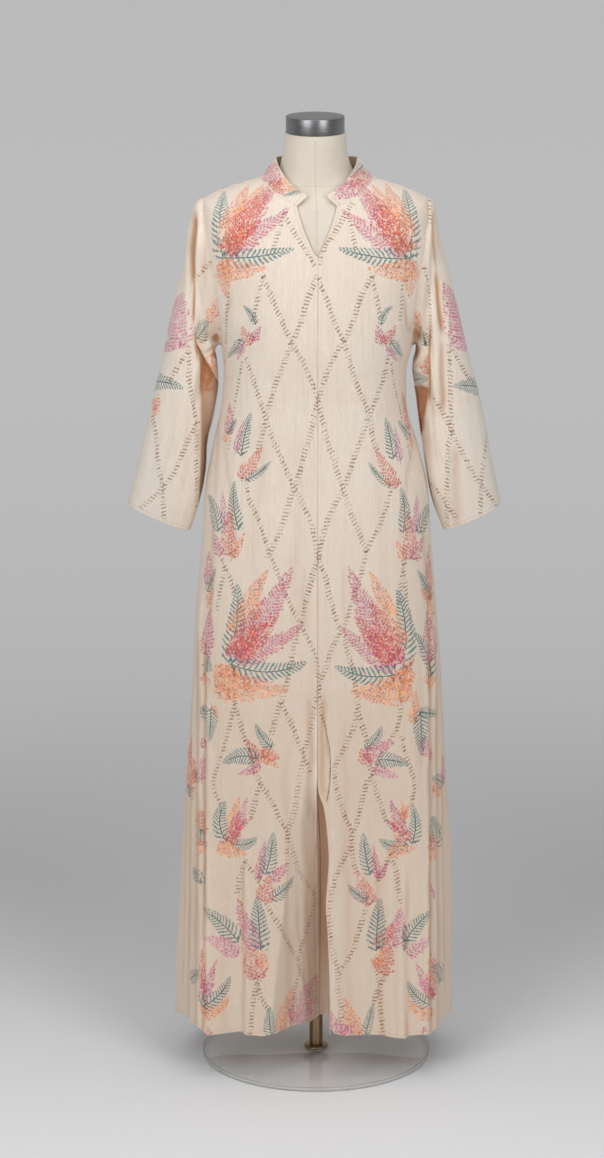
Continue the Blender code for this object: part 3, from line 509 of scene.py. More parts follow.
class Sheet:
    """A grid of points made into a thin closed wall, with its own cloth coordinates.

    st are the cloth coordinates in metres, shade the painted shade of each place, painted light where it is less than
    nothing, and edge how far it is from a stitched edge and how far along it. halves is how many parts the outer face
    is cut into for baking.
    """

    def __init__(self, name, grid, st, closed=False, shade=None, edge=None, halves=2):
        self.name, self.grid, self.st, self.closed, self.halves = name, grid, st, closed, halves
        self.rows, self.columns = grid.shape[:2]
        self.normals = grid_normals(grid, closed)
        self.shade = np.zeros(grid.shape[:2]) if shade is None else shade
        self.edge = edge
        self.spans = self.columns if closed else self.columns - 1
        j, i = np.meshgrid(np.arange(self.rows - 1), np.arange(self.spans), indexing="ij")
        self.j, self.i = j.ravel(), i.ravel()
        here, ahead = self.j * self.columns, (self.i + 1) % self.columns
        above = here + self.columns
        self.corner = np.stack([here + self.i, here + ahead, above + ahead, above + self.i], axis=-1)
        self.picture = picture(grid)
        look = np.array([CAMERA["x"], CAMERA["y"], CAMERA["z"]]) - grid
        self.seen = np.sum(self.normals * look, axis=-1) > 0
        self.fronds = [np.full((len(self.j), 4, 6), -1.0) for _ in range(FROND_LAYERS)]
        self.dashes = [np.full((len(self.j), 4, 3), -1.0) for _ in range(DASH_LAYERS)]

    def area(self):
        p = self.grid.reshape(-1, 3)[self.corner]
        return float(0.5 * np.linalg.norm(np.cross(p[:, 2] - p[:, 0], p[:, 3] - p[:, 1]), axis=1).sum())

    def build(self, material):
        """The sheet as an object: an outer face, an inner face and a rim."""
        columns = self.columns
        outer = self.grid.reshape(-1, 3)
        points = np.concatenate([outer, outer - self.normals.reshape(-1, 3) * CLOTH])
        shift = len(outer)
        i = np.arange(self.spans)
        k = (i + 1) % columns
        top = shift - columns
        edges = [(k, i), (top + i, top + k)]
        if not self.closed:
            first = np.arange(self.rows - 1) * columns
            last = first + columns - 1
            edges += [(first, first + columns), (last + columns, last)]
        rim = np.concatenate([np.stack([a, b, b + shift, a + shift], axis=-1) for a, b in edges])
        faces = np.concatenate([self.corner, self.corner[:, ::-1] + shift, rim])
        mesh = bpy.data.meshes.new(self.name)
        mesh.vertices.add(len(points))
        mesh.vertices.foreach_set("co", points.astype(np.float32).ravel())
        mesh.loops.add(faces.size)
        mesh.loops.foreach_set("vertex_index", faces.astype(np.int32).ravel())
        mesh.polygons.add(len(faces))
        mesh.polygons.foreach_set("loop_start", np.arange(0, faces.size, 4, dtype=np.int32))
        mesh.update(calc_edges=True)
        mesh.validate()
        finish_mesh(mesh, 62)
        self.lay_out(mesh, len(rim))
        plain = np.full((len(self.corner) + len(rim), 4, 3), -1.0)
        marks = [(f"frond_place_{n}", layer[..., :3]) for n, layer in enumerate(self.fronds)]
        marks += [(f"frond_form_{n}", layer[..., 3:]) for n, layer in enumerate(self.fronds)]
        marks += [(f"dash_place_{n}", layer) for n, layer in enumerate(self.dashes)]
        for name, values in marks:
            add_vectors(mesh, name, "CORNER", np.concatenate([values, plain]))
        look = np.column_stack([self.shade.ravel(), self.edge.reshape(-1, 2)])
        add_vectors(mesh, "fold_shade", "POINT", np.concatenate([look, look]))
        mesh.materials.append(material)
        return add_object(self.name, mesh)

    def lay_out(self, mesh, rims):
        """Two maps: one in metres for the weave, and one that fills the unit square for baking."""
        vertex = np.zeros(len(mesh.loops), np.int32)
        mesh.loops.foreach_get("vertex_index", vertex)
        st = self.st.reshape(-1, 2)
        add_map(mesh, "Cloth", np.concatenate([st, st])[vertex] + 1.0)
        across = (self.i[:, None] + np.array([0, 1, 1, 0])) / self.spans
        up = self.j[:, None] + np.array([0, 0, 1, 1])
        cut = -(-(self.rows - 1) // self.halves)
        part = self.j[:, None] // cut
        wide = 0.78 / self.halves
        outer = (0.005 + part * (wide + 0.004) + across * (wide - 0.006), 0.005 + 0.99 * (up - part * cut) / cut)
        inner = (0.805 + across[:, ::-1] * 0.165, (0.005 + 0.99 * up / (self.rows - 1))[:, ::-1])
        step = np.arange(rims)[:, None] / rims * 0.99 + 0.005
        rim = (np.tile([0.98, 0.98, 0.995, 0.995], (rims, 1)), step + np.array([0, 1, 1, 0]) * 0.98 / rims)
        add_map(mesh, "OFBake", np.concatenate([np.stack(part, -1) for part in (outer, inner, rim)]))

    def find(self, x, y, half=None):
        """The cloth coordinates under a pixel, or None where this sheet isn't near it."""
        usable = self.seen if half is None else self.seen & half
        away = np.where(usable, np.hypot(self.picture[..., 0] - x, self.picture[..., 1] - y), 1e9)
        j, i = np.unravel_index(np.argmin(away), away.shape)
        if away[j, i] > NEAR_PIXELS:
            return None
        j0, j1 = max(j - 2, 0), min(j + 2, self.rows - 1)
        if self.closed:
            i0, i1 = (i - 2) % self.columns, (i + 2) % self.columns
        else:
            i0, i1 = max(i - 3, 0), min(i + 3, self.columns - 1)
        across, up = self.picture[j, i1] - self.picture[j, i0], self.picture[j1, i] - self.picture[j0, i]
        offset = np.array([x, y]) - self.picture[j, i]
        matrix = np.column_stack([across, up])
        if abs(np.linalg.det(matrix)) < 1e-3:
            return self.st[j, i]
        move = np.linalg.solve(matrix, offset)
        shift = move[0] * (self.st[j, i1] - self.st[j, i0]) + move[1] * (self.st[j1, i] - self.st[j0, i])
        limit = np.hypot(*offset) / PER_METRE * 1.8 + 0.0015
        return self.st[j, i] + shift * min(1.0, limit / max(np.hypot(*shift), 1e-9))

    def mark(self, layers, path, length, values, margin, slack, side):
        """Prints a mark along a path: each face it touches is told how far along and beside the path it lies.

        values go with them. The mark takes the layer where it covers the fewest others.
        """
        near = ((self.st >= path.min(axis=0) - margin) & (self.st <= path.max(axis=0) + margin)).all(axis=-1)
        if not near.any():
            return
        u, v = along_path(path, self.st, near)
        inside = near & (u > -slack) & (u < length + slack) & (np.abs(v) < side)
        used = inside.ravel()[self.corner].any(axis=1) & near.ravel()[self.corner].all(axis=1)
        if not used.any():
            return
        layer = min(layers, key=lambda other: np.count_nonzero(used & (other[:, 0, 2] > 0)))
        where = self.corner[used]
        layer[used, :, 0], layer[used, :, 1] = u.ravel()[where], v.ravel()[where]
        layer[used, :, 2:] = values

    def put_frond(self, path, length, half, ink, pitch):
        """A frond by its rachis as points of the cloth, its length, half width, ink and the pitch of its leaflets."""
        self.mark(self.fronds, path, length, (pitch, length, half, ink), half * 1.4, 0.004, half * 1.25 + 0.003)

    def put_dashes(self, path, length, half):
        """A line of dashes by its points on the cloth, its length and half width."""
        self.mark(self.dashes, path, length, (half,), 0.02, 0.002, half + 0.004)


def along_path(path, places, near):
    """For each place, how far along the path it is and how far to its side."""
    p = places[near]
    along, aside, nearest = np.full(len(p), -1.0), np.full(len(p), -1.0), np.full(len(p), 1e9)
    start = 0.0
    for n in range(len(path) - 1):
        run = path[n + 1] - path[n]
        long_ = float(np.hypot(*run))
        if long_ < 1e-9:
            continue
        run = run / long_
        t = (p - path[n]) @ run
        side = (p[:, 0] - path[n][0]) * -run[1] + (p[:, 1] - path[n][1]) * run[0]
        held = np.clip(t, -1.0 if n == 0 else 0.0, long_ + 1.0 if n == len(path) - 2 else long_)
        away = np.hypot(t - held, side)
        closer = away < nearest - 1e-9
        along[closer], nearest[closer] = start + held[closer], away[closer]
        aside[closer] = np.sign(side[closer]) * np.maximum(away[closer], np.abs(side[closer]))
        start += long_
    u, v = np.full(places.shape[:2], -1.0), np.full(places.shape[:2], -1.0)
    u[near], v[near] = along, aside
    return u, v


# ---------------------------------------------------------------- the print's layout, in the picture's pixels

FROND_LAYERS = 5
DASH_LAYERS = 3
# How near to a pixel a sheet's point is seen, in pixels, for the sheet to lie under it.
NEAR_PIXELS = 16
# A line of dashes is cut where it leaps that far on the cloth, and a frond is kept only between these lengths.
LEAP = 0.05
SHORTEST, LONGEST = 0.008, 0.30
# The inks, in the order of their colours: teal, orange, magenta, coral, pink and violet.
T, O, M, C, P, V = range(6)
# How much fuller a frond of each ink spreads than its measured half width, which is that of its dense part.
FULLER = {T: 1.16, O: 1.16, M: 1.18, C: 1.16, P: 1.26, V: 1.0}
# How far apart the leaflets lie. A teal frond has the same number whatever its length, between two limits.
PITCH, COLLAR_PITCH = 0.0060, 0.0056
TEAL_LEAFLETS, TEAL_PITCHES = 9.4, (0.0052, 0.0116)

# Root, tip, how far the middle bends to the left of the way up (in pixels), half width, and ink.
FRONT_FRONDS = (
    # Shoulder sprays.
    (223, 259, 224.5, 191, 4, 9, T), (224, 258, 294.6, 248.5, -3, 9, T), (223, 252, 249, 184, 3, 10, O),
    (227, 250, 264, 183, 2, 10, O), (226, 253, 272, 183, 2, 11, C), (228, 250, 291, 206, -2, 10, M),
    (238, 238, 276, 184, 2, 9, M), (217, 268, 268, 267, -3, 11, O), (222, 262, 227, 298, 0, 9, O),
    (230, 248, 262, 220, 2, 9, C), (410, 260, 404, 189, -4, 9, T), (409, 259, 337.4, 248, 3, 9, T),
    (411, 252, 385, 183, -3, 10, O), (407, 250, 372, 184, -2, 10, O), (407, 253, 361, 184, -2, 11, C),
    (405, 250, 341, 209, 3, 10, M), (395, 236, 354, 185, -2, 9, M), (416, 268, 367, 268, 3, 11, O),
    (412, 262, 409, 298, 0, 9, O), (403, 247, 374, 218, -2, 9, C),
    # Small sprays under the arms.
    (255.7, 324.5, 242.6, 305.5, -2, 4, T), (253, 343, 242, 326, 2, 7, C), (252, 341, 261, 326, 0, 5, M),
    (241.4, 338.8, 227, 356.7, 2, 5, T), (244, 344, 237, 361, 0, 3, P), (381, 325, 393.4, 306, 3, 4, T),
    (382, 344, 377, 325, 0, 6, M), (383, 344, 396, 325, -1, 6, C), (391, 341, 402.9, 356, -1, 5, T),
    (387, 347, 397.5, 361, 0, 3, P),
    # Sprays at the waist.
    (228, 434, 230, 402, 0, 4.5, M), (227, 434, 236.7, 418.6, 0, 3.5, T), (226, 442, 225, 430, 0, 3, O),
    (235.5, 451, 243.8, 420, 0, 3.5, P), (241, 456, 251, 412, 1, 6, T), (239, 478, 262, 446, -2, 7.5, C),
    (246, 480, 271, 461, -2, 4.5, T), (239, 530, 234.5, 481, 3, 6, T), (225, 526, 222.4, 490, 0, 3.5, P),
    (218, 532, 208, 495, -2, 5.5, T), (229, 556, 232, 507, 2, 7, C), (221, 556, 214, 534, 0, 5, M),
    (232, 558, 245, 532, 0, 5, O), (409, 430, 401.7, 390, 0, 4.5, C), (411, 437, 398, 421, 0, 3.5, T),
    (412, 446, 410, 433, 0, 3, O), (400.5, 461, 394.6, 426, 0, 3.5, P), (393.4, 459, 385, 417, -1, 6, T),
    (398, 487, 376, 447, 2, 7.5, C), (391, 486, 368.4, 462, 2, 4.5, T), (403, 533, 400.5, 487, -3, 6, T),
    (415, 533, 417.2, 494, 0, 4, P), (419.5, 534, 430.3, 505, 1, 5, T), (409, 560, 407, 510, -2, 7, C),
    (414, 560, 424, 536, 0, 5, M), (405, 560, 396, 540, 0, 5, O),
    # Big sprays of the middle.
    (228.5, 663, 237, 583, -4, 10, T), (233, 655, 268.5, 569, 5, 12, O), (232, 660, 293, 565, -4, 14, M),
    (232, 658, 263, 600, 0, 12, C), (237, 657, 279, 614, 0, 12, C), (236, 660, 303.7, 623, -4, 10, M),
    (231, 661, 268, 622, 0, 11, C), (230, 664, 307, 662, -9, 10, T), (214, 684, 290, 689, -2, 15, O),
    (220, 664, 230, 700, 0, 9, O), (226, 666, 256, 692, -2, 8, O), (402.7, 671, 396.6, 589, -6, 10, T),
    (399, 662, 369, 571, -5, 12, O), (400, 667, 347.6, 565, 4, 14, M), (399, 660, 370, 602, 0, 12, C),
    (395, 660, 354, 616, 0, 12, C), (396, 668, 341.5, 627, 3, 10, M), (400, 668, 364, 627, 0, 11, C),
    (402, 673, 334.7, 666, 7, 10, T), (412, 687, 350, 692, 2, 15, O), (408, 668, 401, 704, 0, 9, O),
    (403, 672, 376, 694, 2, 8, O), (403.5, 673, 413.9, 657, -1, 5, O),
    # Small motifs between the creases and the sides, upper skirt.
    (207, 585, 209, 550, 0, 4, M), (207.2, 592, 215.8, 568, 0, 4, T), (208, 604, 214, 588, 0, 4, O),
    (206, 656, 211, 606, 0, 6, M), (207, 672, 208, 656, 0, 5, T), (206, 682, 205, 672, 0, 5, O),
    (429.4, 600, 428.5, 541, 0, 4.5, C), (429, 600, 417.3, 570, -2, 4, T), (434, 616, 420, 588, -2, 4, O),
    (432.8, 661, 425.9, 612, 0, 7, M), (431, 677, 413.9, 632, -4, 6, T), (428, 684, 426, 672, 0, 6, O),
    (413.9, 723, 416, 690, 0, 6, O), (419, 712, 437, 714, 0, 6, T), (421, 711, 421.5, 756, 0, 6, T),
    (423, 738, 431, 761, 0, 5, M), (443, 780, 442.7, 755, 0, 3.5, P), (444, 783, 432, 777, 0, 6, T),
    (437, 786, 437, 798, 0, 7, O), (436.3, 844, 431.8, 816, -2, 6, T), (432, 850, 431.5, 832, 0, 4, C),
    (434, 846, 437, 858, 0, 6, O), (434.4, 897, 430.5, 883, 0, 2.5, P), (212, 706, 218.5, 718, 0, 4, O),
    (207, 713, 201, 706, 0, 6, T), (210.8, 708, 208.3, 743, 1, 5.5, T), (206, 742, 200, 748, 0, 5, M),
    (201.5, 780, 203.2, 755, 0, 4, P), (191, 790, 191.3, 736, 0, 5, C), (196, 782, 196, 769, 0, 4, T),
    (189.5, 797, 189.3, 784, 0, 4, T), (200, 832, 201, 810, 0, 6, C), (200, 846, 200.5, 826, 0, 5, T),
    (199, 838, 199, 856, 0, 5, O), (200.6, 884, 193, 867, 0, 4, T),
    # Small sprays of the lower skirt.
    (272, 748, 255.5, 723.5, 2, 6, T), (262, 760, 247, 739, 2, 8, C), (262, 757, 280, 759, 2, 9, C),
    (265, 756, 279, 768, 0, 6, O), (258, 759, 222.5, 763.5, -5, 9, T), (259.5, 764, 238, 774, 2, 5.5, M),
    (365, 749, 381.5, 725.5, -3, 6, T), (366, 761, 395, 742, 3, 9, M), (369, 763, 361, 748, 1, 8, C),
    (377, 760, 409, 765, 2, 8, T), (374, 768, 400, 777, -1, 5.5, P), (227, 843, 226, 801, 7, 7.5, T),
    (230, 828, 240, 796, 0, 6, O), (231, 839, 247.5, 796, -1, 6, M), (236, 829, 253, 817, 0, 4, M),
    (228, 842, 243, 820, 0, 9, C), (230, 842, 257, 837.5, -5, 7, T), (217, 846, 248, 854, -1, 8, O),
    (412, 844, 411, 803, -4, 7, T), (404, 820, 401, 799, 0, 4, O), (405, 836, 390.5, 799, 1, 7, M),
    (398, 830, 385, 819, 0, 4, M), (407, 842, 393, 820, 0, 9, C), (408, 844, 379, 838.5, 5, 7.5, T),
    (389, 853, 416, 848, 1, 8, O), (404, 819, 408.5, 803, 0, 4, O), (258, 879, 265, 840, 0, 5, M),
    (265.7, 875, 273.5, 832, -1, 8, T), (271, 880, 286.5, 863.5, -1, 7, M), (264.6, 902, 270, 875, 1, 10, C),
    (269.7, 899, 293.8, 876, -3, 6.5, T), (370, 875, 363, 832.5, 1, 7.5, T), (377.6, 877, 372.5, 843, 0, 4, M),
    (377.6, 879, 388, 862, 0, 4.5, M), (372.5, 904, 358, 870, 2, 9, C), (367.4, 900, 348, 884.5, 2, 6, T),
    # Sprays above the hem.
    (257, 950, 237.5, 898, 1, 8.5, M), (239, 942, 202, 908, -2, 9, T), (239, 955, 203.5, 938.5, -3, 8.5, P),
    (260.8, 950, 257, 896, 0, 9.5, T), (258, 979, 249.5, 941, 1, 12, C), (262, 968, 262, 950, 0, 8, O),
    (202, 1000, 217, 959, 0, 6, M), (203, 992, 215.5, 983, 0, 5, P), (202, 985, 201.3, 948, 0, 3.5, C),
    (190, 979, 200, 971, 0, 5, T), (202, 1006, 230.5, 975.5, -5, 7, T), (202, 1013, 229.5, 996, -5, 7, O),
    (209.5, 1036, 207.5, 1026, 0, 3, M), (271.5, 1036, 269.5, 1006, 1, 6, T), (279.9, 1032, 294.3, 985.5, 1, 7, O),
    (300, 1024, 319, 974, 2, 12, M), (290, 1026, 314, 1010, 0, 8, P), (391.6, 947, 402, 905, -1, 9, M),
    (379, 949, 393.5, 923, 0, 10, C), (376.3, 951, 380.4, 897.5, 1, 9, T), (404.8, 942, 431.5, 911.5, 2, 8, T),
    (404.5, 950, 404.5, 922, 0, 3, V), (408, 955, 431, 936, -1, 7, P), (379, 973, 391, 946, -1, 12, C),
    (376, 966, 384, 950, 0, 8, O), (432.4, 998, 415.5, 960, 1, 6, M), (433, 998, 430.5, 948.5, 0, 5, C),
    (431, 990, 416.5, 981, 0, 5, P), (440, 983, 433.7, 964, -1, 5, T), (430, 1005, 407.5, 980.5, 4, 7.5, T),
    (432.4, 1015, 408.5, 999, 4, 7.5, O), (423, 1033, 425, 1025, 0, 3, M), (364.8, 1036, 374, 1002, 0, 5.5, T),
    (358.5, 1036, 344, 997, 1, 9, O), (341, 1036, 330.5, 1010, 1, 8, M), (352, 1034, 336, 1024, 0, 7, P),
)
RIGHT_SLEEVE_FRONDS = (
    (170, 340, 184, 292, 0, 10, P), (163, 346, 192, 347, 1, 7, M), (152, 381, 184, 389, 2, 9, T),
    (152, 410, 160, 398, 0, 5, O), (207, 322, 222, 296, 0, 8, O), (197, 339, 209, 322, 0, 7, T),
    (205, 392, 207, 362, 0, 7, O), (206, 378, 219, 350, 0, 6, O),
)
LEFT_SLEEVE_FRONDS = (
    (462, 340, 443, 282, -2, 9, M), (469, 345, 446, 345, -1, 8, P), (479, 387, 453, 386, -1, 9, T),
    (420, 324, 411, 308, 0, 6, O), (426, 346, 422, 330, 0, 4, T), (412, 380, 428, 378, 0, 8, T),
    (421, 430, 423, 384, 0, 9, C), (424, 374, 428, 354, 0, 5, C),
)
# The collar's motifs lie on the band itself: metres back from the front end and up from the seam, root then tip,
# half width and ink. First those of the viewer's left, then those of the right.
COLLAR_FRONDS = (
    ((0.012, 0.036, 0.032, 0.004, 0.0085, T), (0.066, 0.020, 0.022, 0.022, 0.0190, O),
     (0.074, 0.010, 0.028, 0.008, 0.0120, C), (0.122, 0.018, 0.050, 0.018, 0.0230, M),
     (0.150, 0.018, 0.104, 0.018, 0.0180, C), (0.182, 0.018, 0.150, 0.018, 0.0120, T)),
    ((0.074, 0.016, 0.004, 0.014, 0.0230, M), (0.050, 0.028, 0.012, 0.028, 0.0130, P),
     (0.100, 0.014, 0.044, 0.018, 0.0200, C), (0.118, 0.026, 0.066, 0.030, 0.0140, T),
     (0.132, 0.010, 0.094, 0.008, 0.0110, M), (0.166, 0.016, 0.124, 0.016, 0.0150, O)),
)

# Lines of dashes: half width in millimetres, then x and y of each pixel that the line passes.
FRONT_LINES = (
    (4.5, 284, 213, 292, 229, 303, 246, 314, 265),
    (4.5, 352, 203, 340, 225, 325, 246, 319, 262),
    (4.0, 283, 214, 281, 225, 273.6, 248),
    (4.0, 349, 214, 351, 226, 355.7, 248),
    (4.5, 316.4, 279, 308, 298.3, 301, 322, 292.6, 341.2, 284.3, 362.6, 274.8, 386.4, 267, 412, 262, 436, 257, 452),
    (4.5, 318.4, 279, 327.9, 303, 336.2, 327, 344.5, 342.4, 350.5, 365, 357.6, 386.4, 369.5, 415, 373, 438.8, 377,
     450),
    (4.5, 262.9, 276.9, 272.4, 298.3, 281.9, 322, 291, 342, 303.3, 362.6, 312.9, 384, 318, 402, 326.7, 438.8, 336.2,
     467.4, 343.4, 491, 351.7, 515, 362, 540, 366.5, 550),
    (4.5, 371.9, 276.9, 362.4, 293.6, 355.3, 315, 345.7, 338.8, 336.2, 353, 326.7, 374.5, 318, 400, 310.5, 434, 301,
     467.4, 293.8, 488.8, 286.7, 510.2, 279.5, 534, 268, 556),
    (4.0, 262.9, 276.9, 258, 298.3, 252, 322),
    (4.0, 371.9, 276.9, 376.7, 298.3, 381, 318),
    (3.6, 228.3, 285, 228, 298.3, 227, 312.6, 226, 336, 225, 356, 224, 376),
    (3.6, 402, 277, 402, 303, 400.5, 317.4),
    (4.5, 246, 358, 253.3, 379.3, 260.5, 403, 265.2, 417.4, 272.4, 438.8, 284.3, 465, 293.8, 488.8, 303.3, 505.5,
     311, 522, 318, 556),
    (4.5, 388.6, 355.5, 383.8, 379.3, 374.3, 403, 369.5, 415, 361.2, 438.8, 350.5, 469.8, 342.2, 491.2, 333, 508,
     326.7, 522, 318.3, 556),
    (3.0, 242, 362, 236.7, 393.6, 232, 420, 229, 446),
    (3.0, 391, 364, 395.7, 391, 402.9, 422, 410, 455.5),
    (4.0, 246, 480, 248.6, 498.3, 258, 518, 265.8, 543, 279.5, 578, 291.6, 609, 300, 623, 312, 647, 316.6, 657, 319,
     690, 321, 712, 324.7, 725.5),
    (1.2, 322.8, 718, 325.1, 725.6, 326.9, 735.7, 329.2, 746.6, 330.1, 754.8, 330.6, 767.6, 329.7, 783, 328.7, 792,
     326.9, 799.5),
    (4.0, 392, 484, 389, 498.3, 381.5, 522, 366.5, 550, 362, 571, 357, 588, 350, 607, 347.6, 619, 338, 636, 329.5,
     654, 326, 669, 319, 685, 315.7, 704, 310.5, 728, 305, 750, 300, 773, 297.4, 794.6, 293.4, 816, 287.5, 832,
     287.3, 856.4, 286.6, 869.8),
    (4.5, 318.3, 559, 313, 574, 309, 590, 304.5, 604, 303, 617.5, 297.6, 633, 293, 650, 291.6, 664, 281.3, 703, 276,
     716, 271.9, 733),
    (4.5, 318.3, 559, 326, 578, 329.5, 597, 333, 609, 336.4, 623, 345, 636, 347.6, 652, 352.7, 667, 355, 686, 358,
     708, 354.6, 725.5, 349.5, 737, 343.2, 751, 337.4, 760, 334.2, 769, 335.5, 783, 338, 794.4, 340.6, 804.6, 347,
     821.2, 352, 834, 351.5, 844, 347, 853, 340.6, 865.8, 335.5, 876, 331.7, 893, 329.1, 911, 330.4, 931.4, 332.3,
     949.3, 335.5, 960.8, 338, 971, 337.4, 987.6, 340.6, 1003, 342, 1034),
    (4.5, 281.3, 703, 288, 717, 293.4, 727.5, 298.7, 743.6, 304.1, 757, 310, 772),
    (4.5, 358, 708, 362.3, 725.5, 364.8, 733, 368, 752, 371.2, 776.5, 375, 786.7, 380.2, 802, 382.7, 809.7, 386.5,
     822),
    (4.0, 221.9, 559, 224.4, 572.7, 220, 591.7, 217.6, 606),
    (4.0, 221.9, 559, 229, 575, 234, 592),
    (4.0, 403.5, 564, 401, 583, 400, 600),
    (4.0, 403.5, 564, 407, 605, 410, 616, 414, 640),
    (4.0, 235, 690, 235, 704, 228.9, 728.9, 223.6, 747.7, 218.2, 765, 213.5, 778.5, 214.8, 792, 220.9, 805),
    (4.5, 235, 704, 239.7, 722, 245, 738, 252, 764, 260.5, 784, 274.6, 805.4, 280, 820, 287.5, 832, 291, 846, 294.7,
     856.4, 297.8, 870.2, 305.4, 881.7, 313, 891.9, 316.5, 901, 311.8, 913.6, 308.6, 923.8, 305.4, 936.5, 300.3,
     949.3, 298.4, 961, 299.7, 972.2, 297.1, 981.2, 293.9, 993.9, 292.7, 1013),
    (4.5, 260.5, 784, 257.1, 793, 251.7, 815),
    (4.0, 402, 690, 400, 719, 396.7, 730.6, 391, 738),
    (4.0, 402.5, 739.5, 405, 753.6, 410.8, 769, 414, 779, 414.6, 789.3, 412, 801),
    (4.5, 377, 764, 371.2, 776.5, 366.8, 784.2, 362.3, 799.5, 358.5, 814.8, 355.9, 826, 352, 835, 351.5, 848, 353.4,
     859.4, 355.9, 871),
    (4.5, 245, 862, 239.7, 878, 237.8, 893),
    (4.5, 245, 862, 249.3, 868, 258.2, 879),
    (4.5, 390.4, 854, 385.3, 867, 378.9, 878),
    (4.5, 390.4, 854, 395.5, 868, 398, 884, 399.9, 901),
    (4.5, 265.9, 903, 272.2, 914.8, 278.6, 923.8, 285, 936.5, 292.7, 951.8, 298.4, 962, 304.1, 982.4, 309, 992),
    (4.5, 368, 903, 363.6, 916, 359.1, 931.4, 353.4, 949.3, 347, 960.8, 340, 971),
    (4.5, 249.3, 968, 256.9, 984, 253.8, 998, 251.8, 1013, 249.9, 1035),
    (4.5, 263, 974, 256.9, 984, 260.8, 998, 268.4, 1009),
    (4.5, 377.6, 974, 379.5, 985, 380.2, 1003, 381.4, 1019.4, 382.7, 1036),
    (4.5, 386, 974, 378.9, 988, 374, 1001),
)
RIGHT_SLEEVE_LINES = (
    (4.2, 189, 353, 189, 379.3, 191.4, 393.6, 195, 415, 196.5, 434, 196.5, 462.6, 196.5, 505),
    (4.2, 186.7, 353, 176, 369.8, 170, 380),
    (4.2, 158, 398, 152.5, 416, 155.7, 431.7, 156.9, 450.7, 159.3, 472.1, 162.9, 488.8, 164, 517),
    (4.2, 197.4, 422, 189, 438.8, 181.9, 455.5, 174.8, 472, 160.5, 491.2, 143, 506),
    (3.6, 211, 262, 198.6, 276),
)
LEFT_SLEEVE_LINES = (
    (3.4, 425, 268, 428, 284, 430, 300, 431, 336),
    (4.2, 449.3, 352, 450.5, 393.6, 451.7, 427, 448, 446, 447, 474.5, 447, 524),
    (4.2, 452.9, 350, 464.8, 372, 474, 385),
    (4.2, 478, 393.6, 483.8, 415, 487, 429.3, 485, 450.7, 481.5, 477, 480.3, 512),
    (4.2, 433.8, 398.3, 445.7, 417.4, 455.3, 438.8, 464.8, 457.9, 476.7, 479.3, 496, 505),
    (4.2, 431.5, 484, 441, 496, 456, 518),
    (3.6, 428, 200, 428, 222),
)


def path_length(path):
    return float(np.hypot(*np.diff(path, axis=0).T).sum())


def rachis(sheet, frond, half=None):
    """A frond of the picture, laid on the sheet's cloth coordinates, or None."""
    root, tip = np.array(frond[0:2], float), np.array(frond[2:4], float)
    bend, wide, ink = frond[4:]
    run = tip - root
    long_ = np.hypot(*run)
    left = np.array([run[1], -run[0]]) / long_
    middle = (root + tip) / 2 + left * bend * 2
    points = []
    for t in np.linspace(0, 1, 9):
        found = sheet.find(*(root * (1 - t) ** 2 + middle * 2 * t * (1 - t) + tip * t * t), half)
        if found is None:
            return None
        points.append(found)
    a, b = (sheet.find(*((root + tip) / 2 + left * side), half) for side in (wide, -wide))
    wide = wide / PER_METRE
    stretch = 1.0
    if a is not None and b is not None:
        stretch = float(np.clip(np.hypot(*(a - b)) / 2 / wide, 0.9, 2.2))
    wide *= stretch * FULLER[ink] * (1.0 + 0.12 * float(ease((long_ - 34) / 26)))
    path = np.array(points)
    length = path_length(path)
    if length < SHORTEST or length > LONGEST:
        return None
    pitch = float(np.clip(length / TEAL_LEAFLETS, *TEAL_PITCHES)) if ink == T else PITCH
    return {"path": path, "length": length, "half": wide, "ink": ink, "pitch": pitch}


def dash_runs(sheet, line, half=None):
    """The runs of a line of dashes that lie on this sheet."""
    pixels = np.array(line[1:], float).reshape(-1, 2)
    dense = []
    for a, b in zip(pixels[:-1], pixels[1:]):
        steps = max(2, int(np.hypot(*(b - a)) / 6))
        dense += [a + (b - a) * t for t in np.arange(steps) / steps]
    runs, run = [], []
    for p in [sheet.find(*pixel, half) for pixel in [*dense, pixels[-1]]] + [None]:
        if run and (p is None or np.hypot(*(p - run[-1])) > LEAP):
            runs.append(np.array(run))
            run = []
        if p is not None and (not run or np.hypot(*(p - run[-1])) > 1e-4):
            run.append(p)
    return [{"path": r, "length": path_length(r), "half": line[0] / 1000.0} for r in runs if len(r) > 1]


def print_on(sheet, fronds, lines, half=None):
    """Prints the picture's fronds and dashes on a sheet, and gives back what was placed."""
    placed = [laid for laid in (rachis(sheet, frond, half) for frond in fronds) if laid]
    runs = [laid for line in lines for laid in dash_runs(sheet, line, half)]
    for laid in placed:
        sheet.put_frond(**laid)
    for laid in runs:
        sheet.put_dashes(**laid)
    return placed, runs


# ---------------------------------------------------------------- nodes

def srgb(red, green, blue):
    """A colour given in 0 to 255 as seen, in the linear values that nodes want."""
    shares = [c / 255.0 for c in (red, green, blue)]
    return (*(c / 12.92 if c <= 0.04045 else ((c + 0.055) / 1.055) ** 2.4 for c in shares), 1.0)


class Value:
    """An output of a node. Each sum done with it adds one node to its tree."""

    def __init__(self, tree, socket):
        self.tree, self.socket = tree, socket

    def __abs__(self):
        return self.tree.math("ABSOLUTE", self)


def add_operator(name, operation):
    setattr(Value, f"__{name}__", lambda self, other: self.tree.math(operation, self, other))
    setattr(Value, f"__r{name}__", lambda self, other: self.tree.math(operation, other, self))


for operator, operation in (("add", "ADD"), ("sub", "SUBTRACT"), ("mul", "MULTIPLY"), ("truediv", "DIVIDE"),
                            ("pow", "POWER")):
    add_operator(operator, operation)


